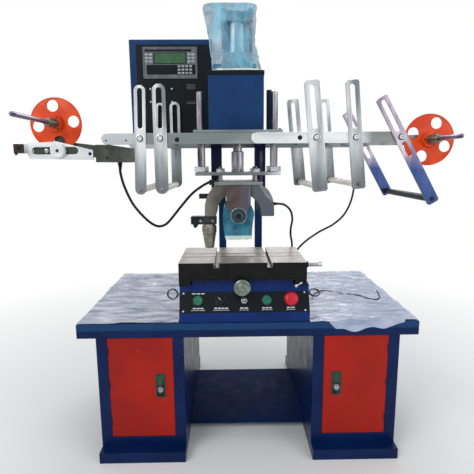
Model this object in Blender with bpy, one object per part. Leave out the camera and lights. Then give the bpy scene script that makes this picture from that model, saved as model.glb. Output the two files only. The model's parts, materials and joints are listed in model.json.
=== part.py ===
import math

import bmesh
import bpy
from mathutils import Matrix, Vector

# Roller heat transfer machine on a two-pedestal steel bench.
# Metres, +Z up, the operator stands on the -Y side. Origin: floor, middle of the machine.

GAP = 0.0003          # between faces that touch
RUNNING_GAP = 0.0005  # round shafts, pins and slides
CUT_OVERRUN = 0.01    # how far a cutter runs past the face it opens
WELD = 0.00002        # points closer than this are one point

# Bench
DESK_WIDTH = 1.300
DESK_DEPTH = 0.744
DESK_HEIGHT = 0.549
DESK_EDGE = 0.0545
DESK_SHEET = 0.004
PEDESTAL_INSET = 0.070
PEDESTAL_WIDTH = 0.333
PEDESTAL_SHEET = 0.003
FACE_FRAME = 0.042
FACE_DEPTH = 0.020
SKID_HEIGHT = 0.040
SKID_PROUD = 0.042
DOOR_THICK = 0.018
DOOR_GAP = 0.0008
LOCK_INSET = 0.052
LOCK_Z = 0.283
LOCK_PLATE_WIDTH = 0.036
LOCK_PLATE_HEIGHT = 0.096
LOCK_PLATE_THICK = 0.003
LOCK_KNOB_R = 0.011
LOCK_STEM_R = 0.005
LOCK_KNOB_LENGTH = 0.010
SHELF_FRONT_Y = -0.210
SHELF_REAR_Y = 0.249
SHELF_Z = 0.042
SHELF_SHEET = 0.003
SHELF_LIP = 0.012
FILM_THICK = 0.0012
FILM_NOTCH_CLEAR = 0.003
FILM_NOTCH_REAR_Y = 0.140

# Console and work table
CONSOLE_X = -0.0145
CONSOLE_WIDTH = 0.494
CONSOLE_FRONT_Y = -0.366
CONSOLE_REAR_Y = -0.045
CONSOLE_WALL = 0.004
CONSOLE_LIP_RISE = 0.038
STRIP_FRONT_Y = -0.330
STRIP_RISE = 0.111
CONSOLE_HEIGHT = 0.1595
CONSOLE_GLAND_INSETS = (0.0475, 0.0875)
CONSOLE_GLAND_RISES = (0.071, 0.051)
WIRE_GLAND_Y = -0.100
WIRE_GLAND_RISE = 0.031
SLIDE_BASE_THICK = 0.0285
PANEL_THICK = 0.002
PANEL_MARGIN = 0.0015
EYE_RING_R = 0.020
EYE_WIRE_R = 0.004
EYE_SHANK = 0.018
EYE_Y = -0.250
EYE_RISE = 0.079
SADDLE_PLATE = 0.006
SADDLE_LEG_WIDTH = 0.044
SADDLE_LEG_DROP = 0.020
SADDLE_LEG_CLEAR = 0.002
TABLE_X = -0.020
TABLE_WIDTH = 0.481
TABLE_FRONT_Y = -0.353
TABLE_DEPTH = 0.300
TABLE_THICK = 0.0625
T_SLOT_OFFSETS = (-0.099, 0.101)
T_SLOT_WIDTH = 0.012
T_SLOT_NECK = 0.010
T_SLOT_FOOT = 0.020
T_SLOT_FOOT_DEPTH = 0.008
GROOVE_YS = (-0.183, -0.242)
GROOVE_WIDTH = 0.007
GROOVE_DEPTH = 0.006
SCREW_Y = -0.200
SCREW_RISE = 0.0175
SCREW_R = 0.009
SCREW_INSIDE = 0.048
SCREW_OUTSIDE = 0.088
SCREW_COLLAR_R = 0.0125
SCREW_COLLAR_FROM = 0.018
SCREW_COLLAR_WIDTH = 0.014
WHEEL_X = -0.024
WHEEL_DROP = 0.0185
WHEEL_R = 0.031
WHEEL_THICK = 0.012
WHEEL_STANDOFF = 0.046
WHEEL_SHAFT_R = 0.006
WHEEL_SHAFT_INSIDE = 0.030

# Controls on the sloped panel, by their X and their place up the slope
CONTROL_SLOPE_SHARE = 0.57
STOP_SLOPE_SHARE = 0.62
START_LEFT_X = -0.190
SELECTOR_X = -0.104
TOGGLE_X = -0.0155
START_RIGHT_X = 0.0695
STOP_X = 0.162
START_CAP_R = 0.018
START_CAP_THICK = 0.011
STOP_CAP_R = 0.027
STOP_CAP_THICK = 0.020
BUTTON_TRAVEL = 0.003
BUTTON_STEM_R = 0.008
BUTTON_STEM_LENGTH = 0.020
SELECTOR_R = 0.0165
SELECTOR_THICK = 0.010
SELECTOR_GRIP_WIDTH = 0.008
SELECTOR_GRIP_HEIGHT = 0.009
TOGGLE_BALL_R = 0.0065
TOGGLE_LEVER_R = 0.0032
TOGGLE_LENGTH = 0.024

# Column and head
HEAD_X = -0.034
PRESS_Y = -0.170
COLUMN_X = -0.0184
COLUMN_SPACING = 0.1664
COLUMN_FRONT_Y = 0.050
COLUMN_DEPTH = 0.050
POST_WIDTH = 0.033
SLEEVES_X = -0.027
SLEEVE_SPACING = 0.197
SLEEVE_WIDTH = 0.048
SLEEVE_HEIGHT = 0.2682
COLUMN_GLAND_SHIFT = 0.012
COLUMN_GLAND_DROP = 0.1755
COLUMN_BASE_MARGIN = 0.026
COLUMN_BASE_THICK = 0.012
HEAD_PLATE_RISE = 0.7045
HEAD_PLATE_THICK = 0.010
HEAD_PLATE_PAST_ROD = 0.0195
HEAD_PLATE_FRONT_Y = -0.305
HEAD_REAR_Y = 0.260
HOUSING_X = -0.0394
HOUSING_TO_ROD = 0.0404
HOUSING_FRONT_Y = -0.250
HOUSING_HEIGHT = 0.2167
HOUSING_SHEET = 0.003
REAR_PANEL_HEIGHT = 0.3462
REAR_PANEL_THICK = 0.020
CABINET_LEFT_X = -0.518
CABINET_FRONT_Y = 0.160
CABINET_DEPTH = 0.180
CABINET_HEIGHT = 0.4342
CABINET_SHEET = 0.003
CABINET_CABLE_HOLE_R = 0.030
DISPLAY_INSET = 0.0617
DISPLAY_WIDTH = 0.2466
DISPLAY_RISE = 0.2634
DISPLAY_HEIGHT = 0.1368
DISPLAY_PROUD = 0.006
CYLINDER_CAP_SIDE = 0.120
CYLINDER_FOOT_HEIGHT = 0.067
CYLINDER_BARREL_R = 0.050
CYLINDER_BARREL_HEIGHT = 0.107
CYLINDER_HEAD_HEIGHT = 0.037
TIE_ROD_R = 0.006
TIE_ROD_OFFSET = 0.0505
BAG_WALL = 0.0015
BAG_TOP_SLACK = 0.018
BAG_SIDE_SLACK = 0.0367
BAG_FRONT_SLACK = 0.023
BAG_CORNER_SHARE = 0.45
# Rings of the bag from the bottom up: share of its height, then sideways shift and half width as
# shares of the half width at its foot
BAG_RING_SHARES = ((0.0, 0.0, 1.0), (0.20, -0.083, 0.951), (0.45, -0.165, 0.926),
                   (0.75, -0.217, 0.993), (0.93, -0.264, 1.045), (1.0, -0.264, 1.069))

# Press carriage, hood and roller
STROKE = 0.040
PISTON_R = 0.018
PISTON_SLEEVE_R = 0.025
PISTON_SLEEVE_HEIGHT = 0.080
PISTON_INSIDE_CYLINDER = STROKE + 0.035
GUIDE_ROD_R = 0.0155
GUIDE_ROD_SPACING = 0.288
GUIDE_ROD_LENGTH = 0.307
ROD_SPIGOT_R = 0.0095
COLLAR_R = 0.029
COLLAR_HEIGHT = 0.022
CARRIAGE_PAST_ROD = 0.020
CARRIAGE_DEPTH = 0.160
CARRIAGE_RISE = 0.159
CARRIAGE_THICK = 0.012
ROLLER_DROP = 0.3035
ROLLER_R = 0.058
ROLLER_REAR_Y = -0.054
ROLLER_SHAFT_R = 0.012
SHAFT_PROUD = 0.002
HOOD_FRONT_Y = -0.308
HOOD_REAR_Y = -0.045
HOOD_SHIFT = 0.0035
HOOD_HALF_WIDTH = 0.131
HOOD_HALF_HEIGHT = 0.128
HOOD_SQUARENESS = 2.8
HOOD_INNER_R = 0.0843
HOOD_LEG_DROP = 0.004
FLANGE_WIDTH = 0.181
FLANGE_RISE = 0.1125
FLANGE_THICK = 0.012
FLANGE_OVERHANG = 0.004
STUD_X = 0.068
STUD_Y = 0.065
STUD_R = 0.006
NUT_R = 0.0165
NUT_HEIGHT = 0.013
STUD_TIP = 0.008
HOOD_GLAND_R = 0.010
HOOD_GLAND_LENGTH = 0.008
HOOD_GLAND_RISE = 0.028
HOOD_GLAND_SHIFT = 0.020
BEARING_PLATE_THICK = 0.012
BEARING_PLATE_WIDTH = 0.091
BEARING_SHOULDER_RISE = 0.040
BEARING_BOSS_R = 0.031
WRAP_CLEAR = 0.0006
WRAP_WALL = 0.0012
WRAP_DROP = 0.0925
WRAP_HALF_FOOT = 0.050
NOZZLE_X = -0.146
NOZZLE_Y = -0.281
NOZZLE_CLAMP_WIDTH = 0.098
NOZZLE_CLAMP_SHIFT = -0.020
NOZZLE_CLAMP_DEPTH = 0.038
NOZZLE_CLAMP_HEIGHT = 0.031
NOZZLE_R = 0.028
NOZZLE_TIP_R = 0.017
NOZZLE_BODY = 0.039
NOZZLE_CONE = 0.053

# Film beams, guide frames, arms and reels
BEAM_HEIGHT = 0.040
BEAM_THICK = 0.012
BEAM_LEFT_X = -0.5315
BEAM_RIGHT_X = 0.067
SIDE_BAR_LEFT_X = 0.0135
SIDE_BAR_RIGHT_X = 0.5767
REAR_BEAM_Y = 0.125
GUIDE_PLATE_THICK = 0.008
PIVOT_R = 0.006
PIVOT_HEAD_R = 0.014
PIVOT_HEAD_THICK = 0.006
REAR_NUT_THICK = 0.006
TIE_BAR_R = 0.006
GUIDE_ROLLER_R = 0.013
END_PLAY = 0.0005
# name, pivot X, tilt in degrees, reach above, reach below, width, slot width,
# lower end of the slot above the pivot, True where the ends are round
GUIDE_FRAMES = (
    ("left_outer", -0.389, -1.8, 0.186, 0.203, 0.041, 0.018, 0.035, True),
    ("left_inner", -0.3163, 0.0, 0.190, 0.201, 0.048, 0.021, 0.035, True),
    ("right_inner", 0.248, 6.0, 0.199, 0.196, 0.056, 0.018, 0.030, False),
    ("right_middle", 0.3917, 6.0, 0.199, 0.187, 0.050, 0.018, 0.030, False),
    ("right_outer", 0.5567, 29.6, 0.160, 0.276, 0.045, 0.019, 0.022, False),
)
# Ends of the second slot, below the pivot, that only the right outer frame has
OUTER_SLOT_TOP = 0.020
OUTER_SLOT_LOW = 0.080
ARM_BLOCK_X = -0.530
ARM_BLOCK_WIDTH = 0.050
ARM_BLOCK_HEIGHT = 0.0629
ARM_BAR_HEIGHT = 0.036
ARM_BAR_THICK = 0.012
ARM_BAR_PAST_KNOB = 0.096
ARM_BAR_DROP = 0.0412
SLIDE_ARM_LEFT_X = -0.813
SLIDE_ARM_RIGHT_X = -0.562
SLIDE_ARM_THICK = 0.008
SLIDE_ARM_HALF_HEIGHT = 0.033
# Outline of the slotted arm: share of its length from the left, share of its half height
SLIDE_ARM_OUTLINE_SHARES = ((0.03, 0.80), (0.48, 1.0), (1.0, 0.04), (1.0, -1.0), (0.08, -0.87))
SLOT_END_SHARES = (0.129, 0.792)
SLOT_HEIGHT = 0.026
SENSOR_LENGTH = 0.027
SENSOR_HEIGHT = 0.034
SENSOR_DEPTH = 0.022
KNOB_PLACE_SHARE = 0.518
KNOB_R = 0.0275
KNOB_THICK = 0.020
KNOB_STUD_R = 0.006
REEL_X = 0.8530
REEL_LEFT_RISE = 0.0918
REEL_RIGHT_RISE = 0.0108
REEL_R = 0.117
REEL_THICK = 0.006
REEL_HOLE_R = 0.026
REEL_HOLE_PITCH_R = 0.080
REEL_LEFT_TURN = 7.0
REEL_RIGHT_TURN = 68.0
REEL_BOSS_R = 0.038
REEL_BOSS_THICK = 0.022
CHUCK_R = 0.022
CHUCK_LENGTH = 0.080
SPINDLE_R = 0.010
SPINDLE_LEFT_TIP_Y = -0.300
SPINDLE_RIGHT_TIP_Y = -0.195
SPINDLE_COLLAR_R = 0.013
SPINDLE_COLLAR_LENGTH = 0.016
REEL_BEARING_R = 0.024
REEL_BEARING_DEPTH = 0.020
REEL_REAR_GAP = 0.0004
REEL_ARM_WIDTH = 0.036
RIGHT_ARM_START_X = 0.460
RIGHT_ARM_HEIGHT = 0.046

# Free cords: the routes are chosen points, in metres, from exit to end
CABLE_R = 0.0045
CABLE_LEFT_R = 0.0055
WIRE_R = 0.0028
CABLE_GLAND_R = 0.011
CABLE_GLAND_LENGTH = 0.014
CABLE_LEFT_ROUTE = ((-0.530, -0.060, 1.1497), (-0.530, -0.060, 1.105), (-0.516, -0.058, 1.045),
                    (-0.485, -0.052, 0.972), (-0.440, -0.046, 0.913), (-0.402, -0.040, 0.880),
                    (-0.372, -0.034, 0.872), (-0.340, -0.026, 0.888), (-0.288, -0.014, 0.950),
                    (-0.235, -0.014, 1.010), (-0.190, -0.022, 1.044), (-0.155, -0.026, 1.063),
                    (-0.128, -0.017, 1.074), (-0.116, 0.002, 1.078), (-0.1135, 0.019, 1.078),
                    (-0.1135, 0.0355, 1.078))
CABLE_RIGHT_ROUTE = ((0.520, 0.119, 1.2207), (0.520, 0.119, 1.170), (0.522, 0.117, 1.110),
                     (0.520, 0.112, 1.040), (0.505, 0.102, 0.965), (0.470, 0.090, 0.900),
                     (0.415, 0.078, 0.855), (0.345, 0.068, 0.820), (0.275, 0.062, 0.770),
                     (0.225, 0.058, 0.710), (0.196, 0.048, 0.655), (0.186, 0.020, 0.624),
                     (0.185, -0.010, 0.620), (0.185, -0.0307, 0.620))
HOOD_CABLE_ROUTE = ((0.1090, -0.150, 0.978), (0.130, -0.150, 0.978), (0.160, -0.142, 0.972),
                    (0.188, -0.120, 0.945), (0.200, -0.092, 0.905), (0.200, -0.055, 0.865),
                    (0.204, -0.020, 0.825), (0.216, 0.014, 0.775), (0.214, 0.036, 0.715),
                    (0.186, 0.042, 0.655), (0.158, 0.030, 0.612), (0.146, 0.008, 0.600),
                    (0.145, -0.015, 0.600), (0.145, -0.0307, 0.600))
DESK_WIRE_ROUTE = ((0.2468, -0.100, 0.580), (0.262, -0.100, 0.580), (0.280, -0.092, 0.571),
                   (0.300, -0.070, 0.558), (0.320, -0.030, 0.5536), (0.345, 0.006, 0.5536),
                   (0.385, 0.008, 0.5536), (0.432, -0.030, 0.5536), (0.478, -0.046, 0.5536),
                   (0.512, -0.066, 0.5536), (0.540, -0.112, 0.5536), (0.568, -0.124, 0.5536),
                   (0.592, -0.096, 0.5536), (0.604, -0.050, 0.5536), (0.612, 0.010, 0.5536))

ROUND = 32
SMALL_ROUND = 16
TINY_ROUND = 10

for stale in list(bpy.data.objects):
    bpy.data.objects.remove(stale, do_unlink=True)


def material(name, colour, roughness, metallic=0.0, alpha=1.0):
    made = bpy.data.materials.new(name)
    made.use_nodes = True
    shader = made.node_tree.nodes["Principled BSDF"]
    shader.inputs["Base Color"].default_value = (*colour, 1.0)
    shader.inputs["Roughness"].default_value = roughness
    shader.inputs["Metallic"].default_value = metallic
    shader.inputs["Alpha"].default_value = alpha
    return made


BLUE = (0.006, 0.030, 0.130)
NAVY = (0.010, 0.018, 0.060)
FINISHES = {
    "blue_paint": (BLUE, 0.35),
    "navy_paint": (NAVY, 0.40),
    "red_paint": ((0.62, 0.035, 0.012), 0.35),
    "black_paint": ((0.012, 0.012, 0.014), 0.40),
    "ground_steel": ((0.50, 0.50, 0.51), 0.35, 1.0),
    "bright_steel": ((0.68, 0.68, 0.70), 0.20, 1.0),
    "aluminium": ((0.66, 0.67, 0.69), 0.30, 1.0),
    "cast_grey": ((0.16, 0.16, 0.15), 0.60, 0.3),
    "orange_plastic": ((0.80, 0.14, 0.03), 0.40),
    "silicone": ((0.10, 0.28, 0.33), 0.45),
    "clear_film": ((0.70, 0.76, 0.82), 0.25, 0.0, 0.45),
    "blue_film": ((0.30, 0.60, 0.75), 0.20, 0.0, 0.40),
    "teal_film": ((0.08, 0.36, 0.44), 0.25, 0.0, 0.60),
    "green_plastic": ((0.01, 0.20, 0.12), 0.35),
    "red_plastic": ((0.60, 0.01, 0.03), 0.35),
    "white_plastic": ((0.75, 0.76, 0.77), 0.35),
    "black_plastic": ((0.02, 0.02, 0.022), 0.45),
    "black_rubber": ((0.015, 0.015, 0.015), 0.60),
}


def make_object(name, mesh_data, finish):
    mesh = bpy.data.meshes.new(name)
    mesh_data.to_mesh(mesh)
    mesh_data.free()
    made = bpy.data.objects.new(name, mesh)
    bpy.context.scene.collection.objects.link(made)
    if finish:
        mesh.materials.append(material(name + "_" + finish, *FINISHES[finish]))
    return made


def finish_mesh(built):
    bmesh.ops.recalc_face_normals(built, faces=built.faces)
    return built


def box(name, low, high, finish=None):
    built = bmesh.new()
    bmesh.ops.create_cube(built, size=1.0)
    size = [b - a for a, b in zip(low, high)]
    middle = [(a + b) / 2 for a, b in zip(low, high)]
    bmesh.ops.scale(built, vec=size, verts=built.verts)
    bmesh.ops.translate(built, vec=middle, verts=built.verts)
    return make_object(name, finish_mesh(built), finish)


def prism(name, outline, axis, start, end, finish=None):
    """A closed outline pushed along X or Y. Its points are (Y, Z) or (X, Z)."""
    built = bmesh.new()
    place = {"X": lambda p, along: (along, p[0], p[1]), "Y": lambda p, along: (p[0], along, p[1]),
             "Z": lambda p, along: (p[0], p[1], along)}[axis]
    near = [built.verts.new(place(p, start)) for p in outline]
    far = [built.verts.new(place(p, end)) for p in outline]
    built.faces.new(near)
    built.faces.new(list(reversed(far)))
    for i in range(len(outline)):
        j = (i + 1) % len(outline)
        built.faces.new((near[j], near[i], far[i], far[j]))
    return make_object(name, finish_mesh(built), finish)


def turned(name, profile, base, direction, sides=ROUND, finish=None):
    """A solid of revolution: (distance along, radius) pairs from its base, along a direction."""
    built = bmesh.new()
    turn = Vector(direction).to_track_quat("Z", "Y").to_matrix().to_4x4()
    frame = Matrix.Translation(Vector(base)) @ turn
    rings = []
    for along, radius in profile:
        ring = []
        for k in range(sides):
            angle = 2 * math.pi * k / sides
            point = Vector((radius * math.cos(angle), radius * math.sin(angle), along))
            ring.append(built.verts.new(frame @ point))
        rings.append(ring)
    built.faces.new(rings[0])
    built.faces.new(list(reversed(rings[-1])))
    for low, high in zip(rings, rings[1:]):
        for k in range(sides):
            j = (k + 1) % sides
            built.faces.new((low[j], low[k], high[k], high[j]))
    made = make_object(name, finish_mesh(built), finish)
    smooth(made)
    return made


def smooth(obj, angle=35.0):
    obj.data.shade_smooth()
    obj.data.set_sharp_from_angle(angle=math.radians(angle))


def rod(name, base, direction, length, radius, sides=SMALL_ROUND, finish=None):
    return turned(name, ((0.0, radius), (length, radius)), base, direction, sides, finish)


def combine(target, others, operation):
    for other in others:
        step = target.modifiers.new(operation.lower(), "BOOLEAN")
        step.operation = operation
        step.solver = "EXACT"
        step.object = other
    bpy.context.view_layer.update()
    shape = bpy.data.meshes.new_from_object(target.evaluated_get(bpy.context.evaluated_depsgraph_get()))
    target.modifiers.clear()
    old = target.data
    kept = list(old.materials)
    target.data = shape
    shape.materials.clear()
    for finish in kept:
        shape.materials.append(finish)
    for other in others:
        bpy.data.objects.remove(other, do_unlink=True)
    tidy = bmesh.new()
    tidy.from_mesh(shape)
    bmesh.ops.remove_doubles(tidy, verts=tidy.verts, dist=WELD)
    flat = math.radians(0.1)
    bmesh.ops.dissolve_limit(tidy, angle_limit=flat, verts=tidy.verts, edges=tidy.edges)
    bmesh.ops.triangulate(tidy, faces=tidy.faces)
    bmesh.ops.remove_doubles(tidy, verts=tidy.verts, dist=WELD)
    tidy.to_mesh(shape)
    tidy.free()
    for face in shape.polygons:
        face.material_index = 0
    smooth(target)
    return target


def join(target, *others):
    return combine(target, others, "UNION")


def cut(target, *cutters):
    return combine(target, cutters, "DIFFERENCE")


def moved_origin(obj, point):
    """Puts an object's origin on its joint's axis without moving its shape."""
    shift = Vector(point)
    obj.data.transform(Matrix.Translation(-shift))
    obj.location = shift
    return obj


def arc(centre_a, centre_b, radius, start, end, steps):
    points = []
    for k in range(steps + 1):
        angle = math.radians(start + (end - start) * k / steps)
        points.append((centre_a + radius * math.cos(angle), centre_b + radius * math.sin(angle)))
    return points


def bar_outline(left, right, bottom, top, left_round, right_round, steps=8):
    """A flat bar seen from the front, with each end round or square."""
    radius = (top - bottom) / 2
    middle = (top + bottom) / 2
    right_end = arc(right - radius, middle, radius, -90, 90, steps) if right_round else [(right, bottom),
                                                                                         (right, top)]
    left_end = arc(left + radius, middle, radius, 90, 270, steps) if left_round else [(left, top),
                                                                                      (left, bottom)]
    return right_end + left_end


def smooth_route(points, step):
    """Points at an even step along a Catmull-Rom curve through the route's own points."""
    ends = [Vector(points[0]) * 2 - Vector(points[1])] + [Vector(p) for p in points]
    ends.append(Vector(points[-1]) * 2 - Vector(points[-2]))
    fine = []
    samples = 12
    for a, b, c, d in zip(ends, ends[1:], ends[2:], ends[3:]):
        for k in range(samples):
            t = k / samples
            fine.append(0.5 * (2 * b + (c - a) * t + (2 * a - 5 * b + 4 * c - d) * t ** 2
                               + (3 * b - 3 * c + d - a) * t ** 3))
    fine.append(Vector(points[-1]))
    lengths = [0.0]
    for a, b in zip(fine, fine[1:]):
        lengths.append(lengths[-1] + (b - a).length)
    count = max(2, round(lengths[-1] / step))
    even = []
    k = 0
    for i in range(count + 1):
        want = lengths[-1] * i / count
        while k < len(fine) - 2 and lengths[k + 1] < want:
            k += 1
        share = (want - lengths[k]) / (lengths[k + 1] - lengths[k])
        even.append(fine[k].lerp(fine[k + 1], share))
    return even, lengths[-1]


def cord(name, route, radius, finish):
    points, length = smooth_route(route, radius * 6)
    curve = bpy.data.curves.new(name, "CURVE")
    curve.dimensions = "3D"
    curve.bevel_depth = radius
    curve.bevel_resolution = 2
    curve.use_fill_caps = True
    line = curve.splines.new("POLY")
    line.points.add(len(points) - 1)
    for point, place in zip(line.points, points):
        point.co = (*place, 1.0)
    curve.materials.append(material(name + "_" + finish, *FINISHES[finish]))
    made = bpy.data.objects.new(name, curve)
    bpy.context.scene.collection.objects.link(made)
    print("cord", name, "length", round(length, 4))
    return made


# Places that several pieces share
DESK_FRONT_Y = -DESK_DEPTH / 2
DESK_REAR_Y = DESK_DEPTH / 2
DESK_BOTTOM_Z = DESK_HEIGHT - DESK_EDGE
PEDESTAL_OUTER = DESK_WIDTH / 2 - PEDESTAL_INSET
PEDESTAL_INNER = PEDESTAL_OUTER - PEDESTAL_WIDTH
ON_DESK_Z = DESK_HEIGHT + GAP
CONSOLE_LEFT = CONSOLE_X - CONSOLE_WIDTH / 2
CONSOLE_RIGHT = CONSOLE_X + CONSOLE_WIDTH / 2
TABLE_LEFT = TABLE_X - TABLE_WIDTH / 2
TABLE_RIGHT = TABLE_X + TABLE_WIDTH / 2
TABLE_REAR_Y = TABLE_FRONT_Y + TABLE_DEPTH
CONSOLE_LIP_Z = DESK_HEIGHT + CONSOLE_LIP_RISE
STRIP_BOTTOM_Z = DESK_HEIGHT + STRIP_RISE
CONSOLE_TOP_Z = DESK_HEIGHT + CONSOLE_HEIGHT
EYE_Z = DESK_HEIGHT + EYE_RISE
WHEEL_Z = CONSOLE_TOP_Z - WHEEL_DROP
SADDLE_BOTTOM_Z = CONSOLE_TOP_Z + GAP
SADDLE_TOP_Z = SADDLE_BOTTOM_Z + SADDLE_PLATE
TABLE_BOTTOM_Z = SADDLE_TOP_Z + GAP
TABLE_TOP_Z = TABLE_BOTTOM_Z + TABLE_THICK
SCREW_Z = TABLE_BOTTOM_Z + SCREW_RISE
HEAD_PLATE_Z = DESK_HEIGHT + HEAD_PLATE_RISE
HEAD_TOP_Z = HEAD_PLATE_Z + HEAD_PLATE_THICK
HEAD_BASE_Z = HEAD_TOP_Z + GAP
SLEEVE_BOTTOM_Z = HEAD_PLATE_Z - GAP - SLEEVE_HEIGHT
HOUSING_TOP_Z = HEAD_BASE_Z + HOUSING_HEIGHT
REAR_PANEL_TOP_Z = HEAD_BASE_Z + REAR_PANEL_HEIGHT
CABINET_TOP_Z = HEAD_BASE_Z + CABINET_HEIGHT
DISPLAY_BOTTOM_Z = HEAD_BASE_Z + DISPLAY_RISE
DISPLAY_LEFT_X = CABINET_LEFT_X + DISPLAY_INSET
BEAM_TOP_Z = HEAD_PLATE_Z - GAP
BEAM_BOTTOM_Z = BEAM_TOP_Z - BEAM_HEIGHT
BEAM_MID_Z = BEAM_TOP_Z - BEAM_HEIGHT / 2
FRONT_BEAM_Y = HEAD_PLATE_FRONT_Y
LEFT_PLATE_FRONT_Y = FRONT_BEAM_Y - GAP - GUIDE_PLATE_THICK
SIDE_BAR_FRONT_Y = FRONT_BEAM_Y - GAP - BEAM_THICK
RIGHT_PLATE_FRONT_Y = SIDE_BAR_FRONT_Y - GAP - GUIDE_PLATE_THICK
REAR_PLATE_Y = REAR_BEAM_Y + BEAM_THICK + GAP
HEAD_PLATE_WIDTH = GUIDE_ROD_SPACING + 2 * HEAD_PLATE_PAST_ROD
HOUSING_WIDTH = GUIDE_ROD_SPACING - 2 * HOUSING_TO_ROD
CARRIAGE_WIDTH = GUIDE_ROD_SPACING + 2 * CARRIAGE_PAST_ROD
HOUSING_LEFT = HOUSING_X - HOUSING_WIDTH / 2
HOUSING_RIGHT = HOUSING_X + HOUSING_WIDTH / 2
CYLINDER_BOTTOM_Z = HOUSING_TOP_Z + GAP
CYLINDER_TOP_Z = CYLINDER_BOTTOM_Z + CYLINDER_FOOT_HEIGHT + CYLINDER_BARREL_HEIGHT + CYLINDER_HEAD_HEIGHT
BAG_HALF_WIDTH = CYLINDER_CAP_SIDE / 2 + BAG_SIDE_SLACK
BAG_HALF_DEPTH = CYLINDER_CAP_SIDE / 2 + BAG_FRONT_SLACK
BAG_HEIGHT = CYLINDER_TOP_Z - CYLINDER_BOTTOM_Z + BAG_TOP_SLACK
ROLLER_Z = HEAD_PLATE_Z - ROLLER_DROP
CARRIAGE_TOP_Z = ROLLER_Z + CARRIAGE_RISE
CARRIAGE_BOTTOM_Z = CARRIAGE_TOP_Z - CARRIAGE_THICK
GUIDE_ROD_TOP_Z = CARRIAGE_TOP_Z + GUIDE_ROD_LENGTH
FLANGE_BOTTOM_Z = ROLLER_Z + FLANGE_RISE
FLANGE_TOP_Z = FLANGE_BOTTOM_Z + FLANGE_THICK
HOOD_GLAND_Z = ROLLER_Z + HOOD_GLAND_RISE
BEARING_SHOULDER_Z = ROLLER_Z + BEARING_SHOULDER_RISE
ARM_BLOCK_BOTTOM_Z = BEAM_BOTTOM_Z - GAP - ARM_BLOCK_HEIGHT
ARM_BAR_Z = BEAM_MID_Z - ARM_BAR_DROP
SLIDE_ARM_LENGTH = SLIDE_ARM_RIGHT_X - SLIDE_ARM_LEFT_X
SLOT_LEFT_X = SLIDE_ARM_LEFT_X + SLIDE_ARM_LENGTH * SLOT_END_SHARES[0]
SLOT_RIGHT_X = SLIDE_ARM_LEFT_X + SLIDE_ARM_LENGTH * SLOT_END_SHARES[1]
KNOB_X = SLIDE_ARM_LEFT_X + SLIDE_ARM_LENGTH * KNOB_PLACE_SHARE
ARM_BAR_END_X = KNOB_X - ARM_BAR_PAST_KNOB
COLUMN_GLAND_X = SLEEVES_X - SLEEVE_SPACING / 2 + COLUMN_GLAND_SHIFT
COLUMN_GLAND_Z = HEAD_PLATE_Z - COLUMN_GLAND_DROP
REEL_LEFT_Z = BEAM_MID_Z + REEL_LEFT_RISE
REEL_RIGHT_Z = BEAM_MID_Z + REEL_RIGHT_RISE
SLOPE_RUN = STRIP_FRONT_Y - CONSOLE_FRONT_Y
SLOPE_RISE = STRIP_BOTTOM_Z - CONSOLE_LIP_Z
SLOPE_LENGTH = math.hypot(SLOPE_RUN, SLOPE_RISE)
UP_SLOPE = Vector((0.0, SLOPE_RUN / SLOPE_LENGTH, SLOPE_RISE / SLOPE_LENGTH))
OFF_SLOPE = Vector((0.0, -SLOPE_RISE / SLOPE_LENGTH, SLOPE_RUN / SLOPE_LENGTH))


def on_slope(x, share, height=0.0):
    foot = Vector((x, CONSOLE_FRONT_Y, CONSOLE_LIP_Z))
    return foot + UP_SLOPE * (SLOPE_LENGTH * share) + OFF_SLOPE * height


def desk_top():
    outer = box("desk_top", (-DESK_WIDTH / 2, DESK_FRONT_Y, DESK_BOTTOM_Z),
                (DESK_WIDTH / 2, DESK_REAR_Y, DESK_HEIGHT), "blue_paint")
    inner = DESK_WIDTH / 2 - DESK_SHEET
    tray = box("tray", (-inner, DESK_FRONT_Y + DESK_SHEET, DESK_BOTTOM_Z - CUT_OVERRUN),
               (inner, DESK_REAR_Y - DESK_SHEET, DESK_HEIGHT - DESK_SHEET))
    return cut(outer, tray)


def pedestal(side):
    """An open-fronted steel cabinet on a skid that runs out at front and back."""
    label = "left" if side < 0 else "right"
    x0, x1 = sorted((side * PEDESTAL_INNER, side * PEDESTAL_OUTER))
    top = DESK_HEIGHT - DESK_SHEET - GAP
    front = DESK_FRONT_Y + DESK_SHEET + GAP
    rear = DESK_REAR_Y - DESK_SHEET - GAP
    body = box("pedestal_" + label, (x0, front, SKID_HEIGHT), (x1, rear, top), "blue_paint")
    skid = box("skid", (x0, DESK_FRONT_Y - SKID_PROUD, 0.0),
               (x1, DESK_REAR_Y + SKID_PROUD, SKID_HEIGHT + PEDESTAL_SHEET))
    join(body, skid)
    wall = PEDESTAL_SHEET
    room = box("room", (x0 + wall, front + FACE_DEPTH, wall), (x1 - wall, rear - wall, top - wall))
    low, high = door_opening()
    doorway = box("doorway", (x0 + FACE_FRAME, front - CUT_OVERRUN, low),
                  (x1 - FACE_FRAME, front + FACE_DEPTH + CUT_OVERRUN, high))
    return cut(body, room, doorway)


def door_opening():
    return SKID_HEIGHT + FACE_FRAME, DESK_BOTTOM_Z - GAP


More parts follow.
